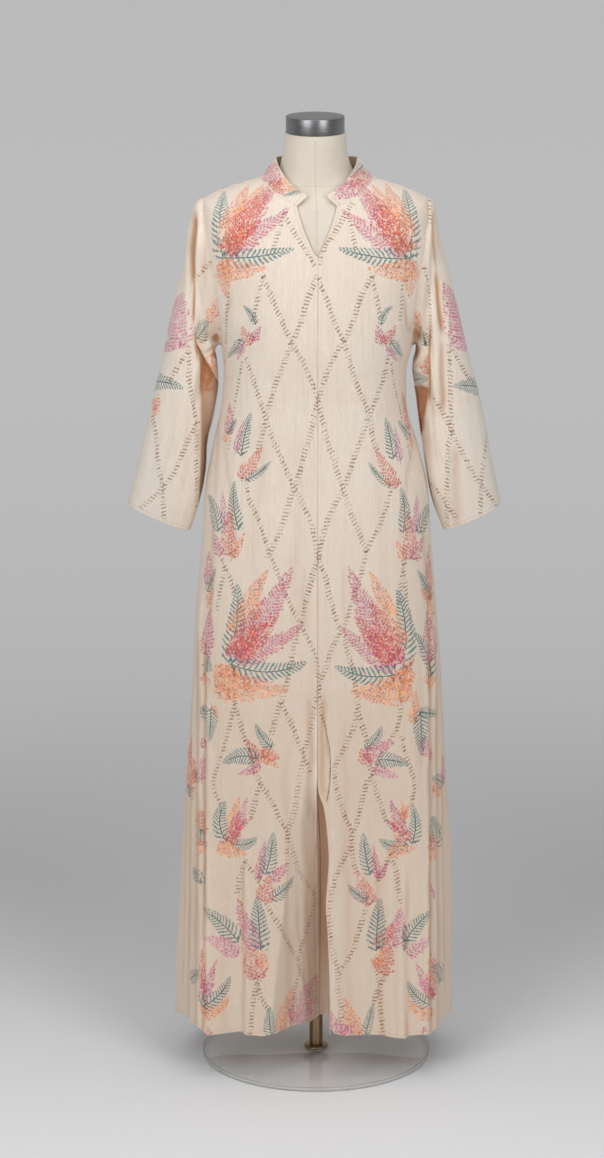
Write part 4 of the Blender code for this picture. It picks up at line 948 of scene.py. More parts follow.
class Tree:
    """Short ways to add nodes to a tree."""

    def __init__(self, tree):
        self.tree = tree

    def put(self, socket, value):
        if isinstance(value, Value):
            self.tree.links.new(value.socket, socket)
        elif value is not None:
            socket.default_value = value

    def node(self, kind, inputs, **settings):
        made = self.tree.nodes.new("ShaderNode" + kind)
        for key, value in settings.items():
            setattr(made, key, value)
        for key, value in inputs.items():
            self.put(made.inputs[key], value)
        return made

    def get(self, output, kind, inputs=None, **settings):
        """One output of a new node."""
        return Value(self, self.node(kind, inputs or {}, **settings).outputs[output])

    def math(self, operation, *values, clamp=False):
        return self.get(0, "Math", dict(enumerate(values)), operation=operation, use_clamp=clamp)

    def mad(self, a, b, c, clamp=False):
        """a times b plus c, in one node."""
        return self.math("MULTIPLY_ADD", a, b, c, clamp=clamp)

    def most(self, a, b):
        return self.math("MAXIMUM", a, b)

    def floor(self, a):
        return self.math("FLOOR", a)

    def off_middle(self, phase):
        """0 in the middle of each unit of phase, 0.5 at its ends."""
        return abs(self.math("FRACT", phase) - 0.5)

    def from_axis(self, x, y):
        return self.math("SQRT", x * x + y * y)

    def chance(self, seed):
        return self.get("Value", "TexWhiteNoise", {"W": seed}, noise_dimensions="1D")

    def step(self, value, low, high, to_low=0.0, to_high=1.0):
        """A smooth step of value from low to high."""
        return self.get("Result", "MapRange", {"Value": value, "From Min": low, "From Max": high, "To Min": to_low,
                                               "To Max": to_high}, interpolation_type="SMOOTHSTEP")

    def mix(self, factor, a, b):
        return self.get(2, "Mix", {0: factor, 6: a, 7: b}, data_type="RGBA", blend_type="MIX")

    def noise(self, vector, scale, detail=2.0, rough=0.5):
        return self.get("Fac", "TexNoise", {"Vector": vector, "Scale": scale, "Detail": detail, "Roughness": rough})

    def scaled(self, vector, size):
        return self.get("Vector", "Mapping", {"Vector": vector, "Scale": size})

    def attribute(self, name):
        return self.get("Vector", "Attribute", attribute_name=name)

    def split(self, vector):
        return [Value(self, output) for output in self.node("SeparateXYZ", {"Vector": vector}).outputs]

    def ramp(self, value, how, steps):
        """Colours by value: steps are pairs of a place from 0 to 1 and a colour."""
        made = self.node("ValToRGB", {"Fac": value})
        made.color_ramp.interpolation = how
        elements = made.color_ramp.elements
        while len(elements) < len(steps):
            elements.new(0.99)
        for element, (place, colour) in zip(elements, steps):
            element.position, element.color = place, colour
        return Value(self, made.outputs["Color"])


def group(name, inputs, outputs):
    """A new node group: its tree, its given values by name, and the sockets for its results."""
    tree = bpy.data.node_groups.new(name, "ShaderNodeTree")
    for keys, way in ((inputs, "INPUT"), (outputs, "OUTPUT")):
        for key in keys:
            kind = "NodeSocketVector" if key in ("Place", "Form") else "NodeSocketFloat"
            tree.interface.new_socket(key, in_out=way, socket_type=kind)
    t = Tree(tree)
    given, result = tree.nodes.new("NodeGroupInput"), tree.nodes.new("NodeGroupOutput")
    return t, {key: Value(t, given.outputs[key]) for key in inputs}, result.inputs


# How long the dabs of a leaflet are, and how far apart the bars of a line of dashes lie.
DAB_LENGTH = 0.0050
DASH_PITCH = 0.0061
# A line of less than this half width is one drawn line, without dashes.
DRAWN_HALF = (0.0015, 0.0017)


def frond_group():
    """A fern frond: leaflets that lean forward on both sides of a rachis, within a tapering outline.

    Teal leaflets are whole strokes. Those of the other inks are rows of short dabs.
    """
    t, given, result = group("frond", ("Place", "Form", "Grain", "Rough"), ("Cover", "Chance", "Line"))
    u, v, pitch = t.split(given["Place"])
    length, half, ink = t.split(given["Form"])
    grain, rough = given["Grain"], given["Rough"]
    share = u / t.most(length, 1e-4)
    crisp = t.step(ink, 0.6, 0.4)
    aside = abs(v)
    narrow = t.most(1.0 - share, 0.0) ** t.mad(crisp, -0.10, 0.70)
    reach = half * narrow * t.step(share, -0.04, 0.30, 0.55, 1.10) * t.mad(rough, 0.6, 0.72)
    out = aside / t.most(reach, 1e-5)
    side = t.math("SIGN", v) * 0.18
    start = u - t.mad(aside, t.mad(share, 0.30, 0.32), aside * out * 0.20)
    closer = t.mad(start / t.most(length, 1e-4), crisp * 0.50, 1.0)
    phase = start / pitch * closer + t.mad(rough, 0.34, side)
    row = t.floor(phase)
    between = t.off_middle(phase)
    within = t.step(out, 1.06, 0.90) * t.step(share, -0.015, 0.01) * t.step(share, 1.0, 0.985)

    # Dabs: each row is cut into short lengths, some of them left out, more of them towards the outline.
    flank = t.math("SIGN", v) * 31.0
    run = aside / DAB_LENGTH + t.chance(row * 7.13 + flank)
    chance = t.chance(t.floor(run) * 13.7 + t.mad(row, 7.13, flank))
    dab = t.step(between, 0.47, 0.25) * t.step(t.off_middle(run), 0.54, 0.33)
    left_out = t.mad(out * out, 0.18, 0.05)
    dab = dab * t.step(chance - left_out, -0.03, 0.03) * t.mad(chance, 0.30, 0.70)
    blush = t.step(out, 1.0, 0.35) * 0.22
    line = t.step(aside, 0.0011, 0.0004) * t.step(share, 0.60, 0.30, 0.0, 0.8) * t.step(half, 0.0150, 0.0110)
    soft = t.most(dab, blush) * within

    # Whole strokes: narrow at the rachis, full in the middle, with paler dabs beside them.
    wide = t.mad(share, 0.06, t.mad(out * (1.30 - out), 0.22, 0.085))
    stroke = t.step(between - wide, 0.080, -0.080) * t.step(grain, 0.30, 0.46, 0.40, 1.0)
    stroke = t.most(stroke, dab * t.mad(share, 0.45, 0.12))
    stem = t.step(aside, 0.0012, 0.0005) * (t.step(share, -0.015, 0.01) * t.step(share, 0.92, 0.72))
    firm = t.most(stroke * within, stem)
    thin = t.most(line * (1.0 - crisp), stem * (crisp * 0.7))

    # Where the leaflets of several fronds meet, at their roots, single dark dabs.
    meet = dab * within * (t.step(share, 0.17, 0.04) * t.step(chance, 0.66, 0.72))
    thin = t.most(thin, meet * 1.1)

    cover = firm * crisp + soft * (1.0 - crisp)
    there = t.math("GREATER_THAN", length, 0.0)
    t.put(result["Cover"], t.math("MULTIPLY", cover, there, clamp=True))
    t.put(result["Chance"], chance)
    t.put(result["Line"], t.math("MULTIPLY", thin, there, clamp=True))
    return t.tree


def dash_group():
    """Short bars across a line, some of them in two halves."""
    t, given, result = group("dash", ("Place", "Grain", "Rough"), ("Cover",))
    u, v, half = t.split(given["Place"])
    aside = abs(v)
    phase = t.mad(v, 0.30, u) / DASH_PITCH + given["Rough"] * 0.80
    whole = t.floor(phase)
    chance, other = t.chance(whole), t.chance(t.mad(t.math("SIGN", v), 37.0, whole))
    bar = t.step(t.mad(other, 0.10, t.off_middle(phase)), 0.36, 0.12)
    long_ = half * t.mad(other, 0.60, 0.66)
    within = t.step(aside / t.most(long_, 1e-5), 1.10, 0.86)
    gap = t.most(t.step(aside, 0.0003, 0.0010), t.step(chance, 0.20, 0.30, 0.45, 1.0))
    cover = bar * within * gap * t.step(chance, 0.0, 0.55, 0.40, 1.0)
    cover = cover * t.step(given["Grain"], 0.28, 0.46, 0.55, 1.0)
    low, high = DRAWN_HALF
    drawn = t.step(half, high, low) * t.step(aside, 0.0011, 0.0006)
    cover = t.most(cover * t.step(half, low, high), drawn)
    t.put(result["Cover"], t.math("MULTIPLY", cover, t.math("GREATER_THAN", half, 0.0), clamp=True))
    return t.tree


# ---------------------------------------------------------------- materials

# The ground of the cotton, with its paler slubs; a warmer tone, both at random and as painted shade; a grey painted
# shade for the sleeves; the painted shade of folds, and the painted light of ridges, which is also the woven figure's
# pale colour; and the inks, as seen.
GROUND, GROUND_PALE, WARM_TONE_AND_SHADE = srgb(234, 220, 204), srgb(242, 231, 217), srgb(212, 187, 163)
SLEEVE_PAINTED_GREY = srgb(216, 212, 206)
PAINTED_FOLD_SHADE, FIGURE_AND_PAINTED_LIGHT = srgb(180, 118, 62), srgb(250, 243, 230)
STITCHING = srgb(196, 168, 132)
DASH_INK, DARK_INK = srgb(138, 98, 66), srgb(46, 24, 30)
INKS = (srgb(52, 116, 122), srgb(230, 134, 84), srgb(196, 86, 128), srgb(206, 88, 76), srgb(206, 116, 156),
        srgb(74, 66, 88))
# The woven figure: how far apart its columns and rows lie, the radius of its circle of dots and of its ring.
FIGURE = {"across": 0.066, "up": 0.084, "dots": 0.0068, "ring": 0.0024}
# Topstitching: how far it lies from the edge, and how long a stitch is.
STITCH = {"inset": 0.0055, "pitch": 0.0032}


def new_material(name):
    """A new material: itself, its tree, the inputs of its shader, and the place on the object in metres."""
    made = bpy.data.materials.new(name)
    made.use_nodes = True
    t = Tree(made.node_tree)
    return made, t, made.node_tree.nodes["Principled BSDF"].inputs, t.get("Object", "TexCoord")


def set_shader(t, shader, values, height=None, strength=0.0, distance=0.0):
    """Sets inputs of a shader, and raises its surface by height."""
    for key, value in values.items():
        t.put(shader[key], value)
    if height:
        t.put(shader["Normal"], t.get("Normal", "Bump", {"Height": height, "Strength": strength, "Distance": distance}))


def cotton(frond, dash):
    """Cream cotton: a fine weave with slubs and crinkles along the warp, a small woven figure, the print, and painted
    shade and painted light for its folds, creases, edges and lower skirt.
    """
    material, t, shader, place = new_material("printed_cotton")
    cloth = t.get("UV", "UVMap", uv_map="Cloth")
    slub = t.noise(t.scaled(cloth, (900.0, 60.0, 1.0)), 1.0, 3.0, 0.6)
    crinkle = t.noise(t.scaled(cloth, (240.0, 9.0, 1.0)), 1.0, 3.0, 0.55)
    cross = t.noise(t.scaled(cloth, (40.0, 700.0, 1.0)), 1.0, 2.0, 0.5)
    cloud = t.noise(place, 9.0, 3.0, 0.5)
    grain = t.noise(cloth, 620.0, 1.0, 0.4)
    rough = t.noise(cloth, 190.0, 1.0, 0.5)
    # Ink takes on single threads only: small flecks of the ground show through, and its depth varies.
    speck = t.get("Color", "TexVoronoi", {"Vector": t.scaled(cloth, (430.0, 360.0, 1.0)), "Scale": 1.0})
    bare, depth, _ = t.split(speck)

    colour = t.mix(t.step(slub, 0.35, 0.70), GROUND, GROUND_PALE)
    x, _, z = t.split(place)
    # Warmer tones at random, painted shade in the crinkles' troughs, a greyer painted shade on the sleeves out past
    # 0.19 m, and painted shade warmer and darker down the skirt below 1.05 m.
    for value, low, high, share, tint in (
            (crinkle, 0.56, 0.28, 0.24, WARM_TONE_AND_SHADE), (cloud, 0.40, 0.70, 0.14, WARM_TONE_AND_SHADE),
            (grain, 0.58, 0.34, 0.14, WARM_TONE_AND_SHADE), (depth, 0.70, 1.0, 0.10, WARM_TONE_AND_SHADE),
            (abs(x), 0.19, 0.27, 0.40, SLEEVE_PAINTED_GREY), (z, 1.05, 0.50, 0.55, WARM_TONE_AND_SHADE)):
        colour = t.mix(t.step(value, low, high, 0.0, share), colour, tint)

    # The woven figure: a small ring inside a circle of dots, in pale floats, set in a half drop.
    u, v, _ = t.split(cloth)
    column = u / FIGURE["across"]
    row = v / FIGURE["up"] + t.math("MODULO", t.floor(column), 2.0) * 0.5
    du, dv = ((t.math("FRACT", value) - 0.5) * FIGURE[key] for value, key in ((column, "across"), (row, "up")))
    far = t.from_axis(du, dv)
    spoke = t.math("COSINE", t.math("ARCTAN2", dv, du) * 8.0)
    dots = t.step(abs(far - FIGURE["dots"]), 0.0017, 0.0008) * t.step(spoke, 0.0, 0.5)
    figure = t.most(t.step(abs(far - FIGURE["ring"]), 0.0011, 0.0005), dots)
    colour = t.mix(figure * 0.17, colour, FIGURE_AND_PAINTED_LIGHT)

    def printed(marks, attributes, outputs):
        given = {**{key: t.attribute(value) for key, value in attributes.items()}, "Grain": grain, "Rough": rough}
        made = t.node("Group", given, node_tree=marks)
        return given, [Value(t, made.outputs[key]) for key in outputs]

    for n in range(DASH_LAYERS):
        _, (cover,) = printed(dash, {"Place": f"dash_place_{n}"}, ("Cover",))
        colour = t.mix(cover * t.step(bare, 0.10, 0.26, 0.40, 0.84), colour, DASH_INK)
    steps = [(k / len(INKS), ink) for k, ink in enumerate(INKS)]
    for n in range(FROND_LAYERS):
        given, (cover, chance, line) = printed(
            frond, {"Place": f"frond_place_{n}", "Form": f"frond_form_{n}"}, ("Cover", "Chance", "Line"))
        ink = t.split(given["Form"])[2]
        ramp = t.ramp((ink + 0.5) / float(len(INKS)), "CONSTANT", steps)
        lighter = t.step(chance, 0.0, 1.0, 0.86, 1.16) * t.step(depth, 0.0, 1.0, 0.66, 1.32)
        tone = t.get("Color", "HueSaturation", {"Hue": t.mad(chance, 0.046, 0.473), "Value": lighter, "Color": ramp})
        tone = t.mix(t.step(crinkle, 0.35, 0.75, 0.0, 0.16), tone, GROUND_PALE)
        firm = t.step(ink, 0.6, 0.4)
        whole = t.most(t.step(bare, 0.12, 0.28, 0.14, 0.96), firm * t.step(bare, 0.06, 0.20, 0.50, 0.94))
        colour = t.mix(cover * whole, colour, tone)
        colour = t.mix(line * 0.60, colour, t.mix(0.55, ramp, DARK_INK))

    # Painted shade in folds, creases and recesses, and painted light on ridges and rolled edges.
    shade, edge, run = t.split(t.attribute("fold_shade"))
    colour = t.mix(t.most(shade, 0.0) * 0.80, colour, PAINTED_FOLD_SHADE)
    colour = t.mix(t.most(shade * -1.0, 0.0) * 0.80, colour, FIGURE_AND_PAINTED_LIGHT)
    # Topstitching: fine thread dashes beside an edge, and painted shade in the fold at the edge itself.
    stitch = t.step(abs(edge - STITCH["inset"]), 0.0007, 0.0003)
    stitch = stitch * t.step(t.off_middle(run / STITCH["pitch"]), 0.40, 0.30)
    colour = t.mix(stitch * 0.55, colour, STITCHING)
    colour = t.mix(t.step(edge, 0.0022, 0.0004, 0.0, 0.35), colour, WARM_TONE_AND_SHADE)

    threads = {"Vector": cloth, "Scale": 260.0, "Distortion": 0.6, "Detail": 1.0}
    weave, weft = (t.get("Fac", "TexWave", threads, bands_direction=way) for way in "XY")
    height = (weave + weft) * 0.10
    for value, share in ((slub, 0.35), (cross, 0.20), (crinkle, 0.80), (figure, 0.30)):
        height = height + value * share
    set_shader(t, shader, {"Base Color": colour, "Roughness": t.step(slub, 0.2, 0.8, 0.80, 0.92), "Sheen Weight": 0.18,
                           "Sheen Roughness": 0.5, "Specular IOR Level": 0.25}, height - stitch * 0.35, 0.55, 0.0011)
    return material


def jersey():
    """The dress form's stretched knit cover, with fine ribs of stitches."""
    material, t, shader, place = new_material("form_jersey")
    knit = t.get("Distance", "TexVoronoi", {"Vector": t.scaled(place, (1.0, 1.0, 0.7)), "Scale": 1500.0})
    cloud = t.noise(place, 14.0, 3.0, 0.5)
    colour = t.mix(t.step(cloud, 0.3, 0.7), srgb(230, 220, 206), srgb(220, 209, 194))
    colour = t.mix(t.step(knit, 0.2, 0.7, 0.0, 0.25), colour, srgb(196, 184, 164))
    set_shader(t, shader, {"Base Color": colour, "Roughness": t.step(cloud, 0.2, 0.8, 0.72, 0.84),
                           "Sheen Weight": 0.15}, knit, 0.25, 0.0003)
    return material


def thread():
    """The sewn seams of the form's cover."""
    material, t, shader, place = new_material("seam_thread")
    twist = t.noise(t.scaled(place, (300.0, 300.0, 900.0)), 1.0, 2.0, 0.5)
    set_shader(t, shader, {"Base Color": t.mix(twist, srgb(196, 186, 170), srgb(212, 202, 186)),
                           "Roughness": t.step(twist, 0.2, 0.8, 0.75, 0.9)}, twist, 0.3, 0.0002)
    return material


def steel(name, dark, light, streak):
    """Brushed steel, its fine lines running round or along the piece."""
    material, t, shader, place = new_material(name)
    lines = t.noise(t.scaled(place, streak), 1.0, 4.0, 0.65)
    set_shader(t, shader, {"Base Color": t.mix(lines, dark, light), "Metallic": 1.0,
                           "Roughness": t.step(lines, 0.2, 0.8, 0.24, 0.40)}, lines, 0.12, 0.0002)
    return material


def glass():
    """Clear plate glass: all but invisible through its faces, grey round its polished edge with a painted highlight."""
    material, t, shader, place = new_material("plate_glass")
    x, y, z = t.split(place)
    smear = t.noise(place, 26.0, 3.0, 0.5)
    rim = t.step(t.from_axis(x, y), BASE["radius"] - 0.0022, BASE["radius"] - 0.0006)
    # The polished edge: grey, with a painted highlight along the middle of its height.
    edge = t.mix(t.step(abs(z - 0.0042), 0.0026, 0.0008), srgb(150, 151, 148), srgb(196, 199, 197))
    # The faces mirror more the flatter they are looked at, as plate glass does, and are clear otherwise.
    mirror = t.mad(t.get("Facing", "LayerWeight", {"Blend": 0.5}) ** 5.0, 1.35, 0.04, clamp=True)
    # The faces' mirror colour is tinted warm: a painted reflection of the cloth.
    set_shader(t, shader, {"Base Color": t.mix(rim, srgb(244, 237, 226), edge), "Metallic": 1.0 - rim,
                           "Roughness": t.step(smear, 0.3, 0.8, 0.02, 0.05), "Alpha": t.most(mirror, rim * 0.55)})
    return material


# ---------------------------------------------------------------- the stage

# Which grey lies where: on the floor by y in metres, as painted shade, and round the studio by the height of the line
# of sight.
FLOOR_PAINTED_SHADE = ((-2.0, 238), (-0.45, 238), (0.25, 227), (0.95, 205), (1.75, 226))
STUDIO_TONES = ((-0.45, 196), (-0.345, 168), (-0.300, 172), (-0.258, 184), (-0.192, 190), (-0.125, 185), (0.10, 184))
# The floor fades out between these distances from the stand.
FLOOR_FADE = (0.85, 2.30)

# Name, place, what it points at, size and power of each soft light.
LIGHTS = (
    ("key_soft", (-1.60, -2.50, 2.40), (0.0, 0.0, 1.30), (1.7, 2.4), 46.0),
    ("fill_soft", (1.55, -2.60, 2.30), (0.0, 0.0, 1.30), (1.4, 2.4), 37.5),
    ("top_soft", (0.0, -0.9, 4.2), (0.0, -0.2, 0.0), (3.2, 2.0), 37.0),
)


def greys(t, value, low, high, tones):
    """A smooth run of greys: tones are pairs of a place between low and high and a grey."""
    share = t.math("DIVIDE", value - low, high - low, clamp=True)
    steps = [((where - low) / (high - low), srgb(tone, tone, tone + 1)) for where, tone in tones]
    return t.ramp(share, "B_SPLINE", steps)


def floor_paper():
    """A pale grey floor, with painted shade darker towards the back, that fades out into the studio's own light."""
    material, t, shader, place = new_material("studio_floor")
    x, y, _ = t.split(place)
    paper = t.noise(place, 40.0, 2.0, 0.5)
    tone = t.mix(paper * 0.03, greys(t, y, -2.0, 5.0, FLOOR_PAINTED_SHADE), srgb(150, 150, 150))
    near, far = FLOOR_FADE
    set_shader(t, shader, {"Base Color": tone, "Roughness": t.step(paper, 0.2, 0.8, 0.85, 0.95),
                           "Alpha": t.step(t.from_axis(x, y), far, near), "Specular IOR Level": 0.15})
    return material


def studio_light(world):
    """Even light from all round: paler behind the form and below eye level, darker above the front."""
    world.use_nodes = True
    t = Tree(world.node_tree)
    _, y, z = t.split(t.get("Generated", "TexCoord"))
    behind = t.step(y, -0.35, 0.35)
    low = t.mix(t.mad(behind, 0.45, 0.55), srgb(0, 0, 0), greys(t, z, -0.45, 0.35, STUDIO_TONES))
    high = t.mix(behind, srgb(104, 105, 107), srgb(172, 172, 174))
    t.put(world.node_tree.nodes["Background"].inputs["Color"], t.mix(t.step(z, 0.18, 0.40), low, high))


def make_stage():
    """A round floor, soft lights and the camera."""
    scene = bpy.context.scene
    radius = FLOOR_FADE[1] + 0.1
    around = 2 * math.pi * np.arange(96) / 96
    mesh = bpy.data.meshes.new("studio_floor")
    mesh.from_pydata([(radius * math.cos(a), radius * math.sin(a), -0.0005) for a in around], [], [tuple(range(96))])
    mesh.update()
    mesh.materials.append(floor_paper())
    add_object("studio_floor", mesh)

    scene.world = scene.world or bpy.data.worlds.new("studio")
    studio_light(scene.world)
    for name, place, aim, size, power in LIGHTS:
        lamp = bpy.data.lights.new(name, "AREA")
        lamp.shape, lamp.size, lamp.size_y, lamp.energy = "RECTANGLE", size[0], size[1], power
        x, y, z = np.array(aim) - np.array(place)
        made = add_object(name, lamp)
        made.location = place
        made.rotation_euler = (math.atan2(math.hypot(x, y), -z), 0.0, math.atan2(y, x) - math.pi / 2)

    scene.view_settings.view_transform = "Standard"
    camera = bpy.data.cameras.new("camera")
    camera.lens, camera.sensor_width, camera.sensor_fit = CAMERA["lens"], SENSOR, "AUTO"
    camera.clip_end = 60.0
    scene.camera = add_object("camera", camera)
    scene.camera.location = (CAMERA["x"], CAMERA["y"], CAMERA["z"])
    scene.camera.rotation_euler = (math.radians(90 - CAMERA["pitch"]), 0.0, 0.0)


# ---------------------------------------------------------------- the dress form and its stand

def ring_object(name, rings, material, node):
    """A closed body through closed rings from bottom to top, its two ends closed by fans."""
    rings = np.array(rings)
    rows, columns = rings.shape[:2]
    points = np.concatenate([rings.reshape(-1, 3), rings[[0, -1]].mean(axis=1)])
    low, high = rows * columns, rows * columns + 1
    here = np.arange(low).reshape(rows, columns)
    ahead = np.roll(here, -1, axis=1)
    faces = np.stack([here[:-1], ahead[:-1], ahead[1:], here[1:]], axis=-1).reshape(-1, 4).tolist()
    for i, k in zip(here[0].tolist(), ahead[0].tolist()):
        faces += [(low, k, i), (high, low - columns + i, low - columns + k)]
    mesh = bpy.data.meshes.new(name)
    mesh.from_pydata(points.tolist(), [], faces)
    mesh.validate()
    mesh.update()
    finish_mesh(mesh, 35)
    mesh.materials.append(material)
    made = add_object(name, mesh)
    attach(made, "root")
    if node:
        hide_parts(node)


def form_rings():
    """Rings of the dress form from its rounded lower end to the top of its neck."""
    w, _ = stations()
    keep = w[w > FORM_BOTTOM + 0.012][::3]
    w = np.concatenate([[FORM_BOTTOM + 0.002, FORM_BOTTOM + 0.006, FORM_BOTTOM + 0.010], keep, [NECKLINE]])
    angles = np.arange(FORM_SIDES) * 2 * math.pi / FORM_SIDES
    away = np.minimum(np.abs(np.degrees(angles) - 90), np.abs(np.degrees(angles) - 270))
    rings = []
    for row in w:
        level = np.full_like(angles, row)
        e = 1e-3
        across = section(angles + e, level) - section(angles - e, level)
        up = section(angles, np.minimum(level + e, NECKLINE)) - section(angles, level - e)
        inset = FORM.at("inset", row)
        rest = REST_GAP if row >= SHOULDER_TIP - 1e-6 else inset
        inset = rest + (inset - rest) * ease(away / 18.0)
        rings.append(section(angles, level) - unit(np.cross(across, up)) * (CAD_WALL + inset)[..., None])
    middle = rings[0].mean(axis=0)
    end = middle + (rings[0] - middle) * 0.93
    end[:, 2] = FORM_BOTTOM
    rings.insert(0, end)
    knots = [rings[-1]] + [neck_ring(step, angles) for step in NECK]
    slope = [(knots[min(k + 1, len(knots) - 1)] - knots[max(k - 1, 0)]) / 2 for k in range(len(knots))]
    for k in range(len(knots) - 1):
        rings += [hermite(t, knots[k], knots[k + 1], slope[k], slope[k + 1]) for t in (0.25, 0.5, 0.75, 1.0)]
    return rings


def neck_ring(values, angles):
    """A ring of the form's neck, from a row of its table."""
    rise_side, rise_front, rise_back, half, front, back, middle = values
    s, c = np.sin(angles), np.cos(angles)
    y = np.where(c > 0, front, -back) * c + 0.004 * np.abs(s)
    z = rise_side + np.where(c > 0, rise_front - rise_side, rise_back - rise_side) * c * c
    return np.stack([middle + half * s, y, z], axis=-1)


def cord_object(name, points, radius, material):
    """A thin tube through points, for a sewn seam."""
    points = np.array(points)
    along = unit(np.gradient(points, axis=0))
    side = unit(np.cross(along, [0.0, 0.0, 1.0]) + 1e-9)
    turn = (np.arange(8) * math.pi / 4)[None, :, None]
    ring = np.cos(turn) * side[:, None] + np.sin(turn) * unit(np.cross(side, along))[:, None]
    ring_object(name, points[:, None] + radius * ring, material, None)


def turned(name, size, bevel, material, node, sides=96, more=()):
    """A round bar with rounded edges, and more points (radius, height) of its profile on top."""
    turn = np.arange(sides) * 2 * math.pi / sides
    inner, bottom, top = size["radius"] - bevel, size["bottom"] + bevel, size["top"] - bevel
    corner = [(bevel * math.sin(a), bevel * math.cos(a)) for a in np.arange(5) * math.pi / 8]
    profile = [(inner + s, bottom - c) for s, c in corner] + [(inner + c, top + s) for s, c in corner] + list(more)
    x = size.get("x", 0.0)
    rings = [np.stack([x + r * np.cos(turn), r * np.sin(turn), np.full(sides, z)], -1) for r, z in profile]
    ring_object(name, rings, material, node)


def make_form():
    """The covered form with its seams, the cap, the pole and the base."""
    cover, sewn = jersey(), thread()
    rings = form_rings()
    ring_object("form_body", rings, cover, "form_torso")
    front = [ring[0] + [-0.0002, -0.0001, 0.0] for ring in rings if ring[0, 2] > 1.30]
    cord_object("form_seam_front", front[:-1], 0.00042, sewn)
    stack = np.array(rings)
    level = [[float(np.interp(NECK_SEAM, stack[:, k, 2], stack[:, k, axis])) for axis in range(3)]
             for k in range(FORM_SIDES)]
    cord_object("form_seam_neck", level + level[:2], 0.00036, sewn)
    polished = steel("cap_steel", srgb(96, 96, 98), srgb(176, 176, 178), (30.0, 30.0, 2600.0))
    satin = steel("pole_steel", srgb(136, 114, 88), srgb(182, 158, 126), (900.0, 900.0, 14.0))
    lid = ((CAP["radius"] * 0.60, CAP["top"] - 0.0001), (CAP["radius"] * 0.2, CAP["top"] - 0.00015))
    turned("form_cap", CAP, 0.0012, polished, "neck_cap", more=lid)
    turned("pole_tube", POLE, 0.0004, satin, "stand_pole", sides=64)
    turned("pole_flange", FLANGE, 0.0012, satin, "stand_flange")
    turned("base_plate", BASE, 0.0012, glass(), "stand_base", sides=160)


# ---------------------------------------------------------------- the cut pieces of cloth

# The lower edge of each front, as pixels of the picture.
HEM_PIXELS = {
    -1: (
        (177.8, 1013), (193, 1017), (199.9, 1028), (207.5, 1035.8), (221.6, 1033.6), (242.2, 1031), (245.4, 1034.7),
        (262.8, 1036.4), (275.8, 1033.6), (293.2, 1025), (310.5, 1021.7), (320.3, 1014),
    ),
    1: (
        (329.6, 1020), (331.5, 1029), (334.4, 1033.5), (345, 1035.8), (367, 1034.7), (380, 1034.7), (395, 1038),
        (406, 1039), (408.5, 1035.8), (429.8, 1034.3), (440.7, 1023.9), (449.3, 1010.8),
    ),
}
# Where the sleeve's layers lie, in the picture's pixels: the line along which the front layer folds back, from
# the top down, and the lower edge of the cloth that hangs over the inner layer under the arm. The inner layer is set
# back and given painted shade.
SLEEVE_LAYERS = {
    -1: {"fold": ((193, 206), (193.5, 300), (196.5, 343), (199.5, 366), (200.5, 400), (200.5, 440), (198, 505)),
         "edge": ((197, 343), (206, 360), (219.8, 383))},
    1: {"fold": ((441, 206), (436, 270), (431, 314), (431.8, 343), (429, 396), (424, 424), (421, 443), (438, 518)),
        "edge": ((410, 384), (424, 386), (431, 388))},
}


def lengths(grid, axis):
    """How far along each row, or up each column, the points of a grid lie."""
    step = np.linalg.norm(np.diff(grid, axis=axis), axis=-1)
    pad = [(0, 0), (0, 0)]
    pad[axis] = (1, 0)
    return np.cumsum(np.pad(step, pad), axis=axis)


def gently(degrees, limit_degrees, w):
    """1 in the middle of a panel, 0 where it is sewn to the next one."""
    return ease((limit_degrees - degrees) / 6.0) * ease((NECKLINE - w) / 0.02)


def pull_in(grid):
    """Leaves the gap of a sewn seam at both sides and at the top."""
    moved = grid.copy()
    moved[:, 0] += SEAM_GAP * unit(grid[:, 1] - grid[:, 0])
    moved[:, -1] += SEAM_GAP * unit(grid[:, -2] - grid[:, -1])
    moved[-1] += SEAM_GAP * unit(grid[-2] - grid[-1])
    return moved


def hem_line(grid, sign):
    """How far the cloth near the hem is raised or let down, so that its edge follows the pixels."""
    seen = picture(grid[0])
    line = np.array(HEM_PIXELS[sign])
    drop = np.clip((seen[:, 1] - np.interp(seen[:, 0], line[:, 0], line[:, 1])) / 600.0, -0.012, 0.012)
    return drop[None, :] * ease((HEM + HEM_RISE - grid[..., 2]) / HEM_RISE)


def hem_wave(angle, w):
    """The back's hem doesn't hang quite level: small rises between the folds."""
    degrees = np.degrees(angle)
    low = ease((HEM + 0.10 - w) / 0.10)
    return low * (0.0022 * np.sin(np.radians(degrees * 7.0 + 40)) + 0.0014 * np.sin(np.radians(degrees * 13.0)))


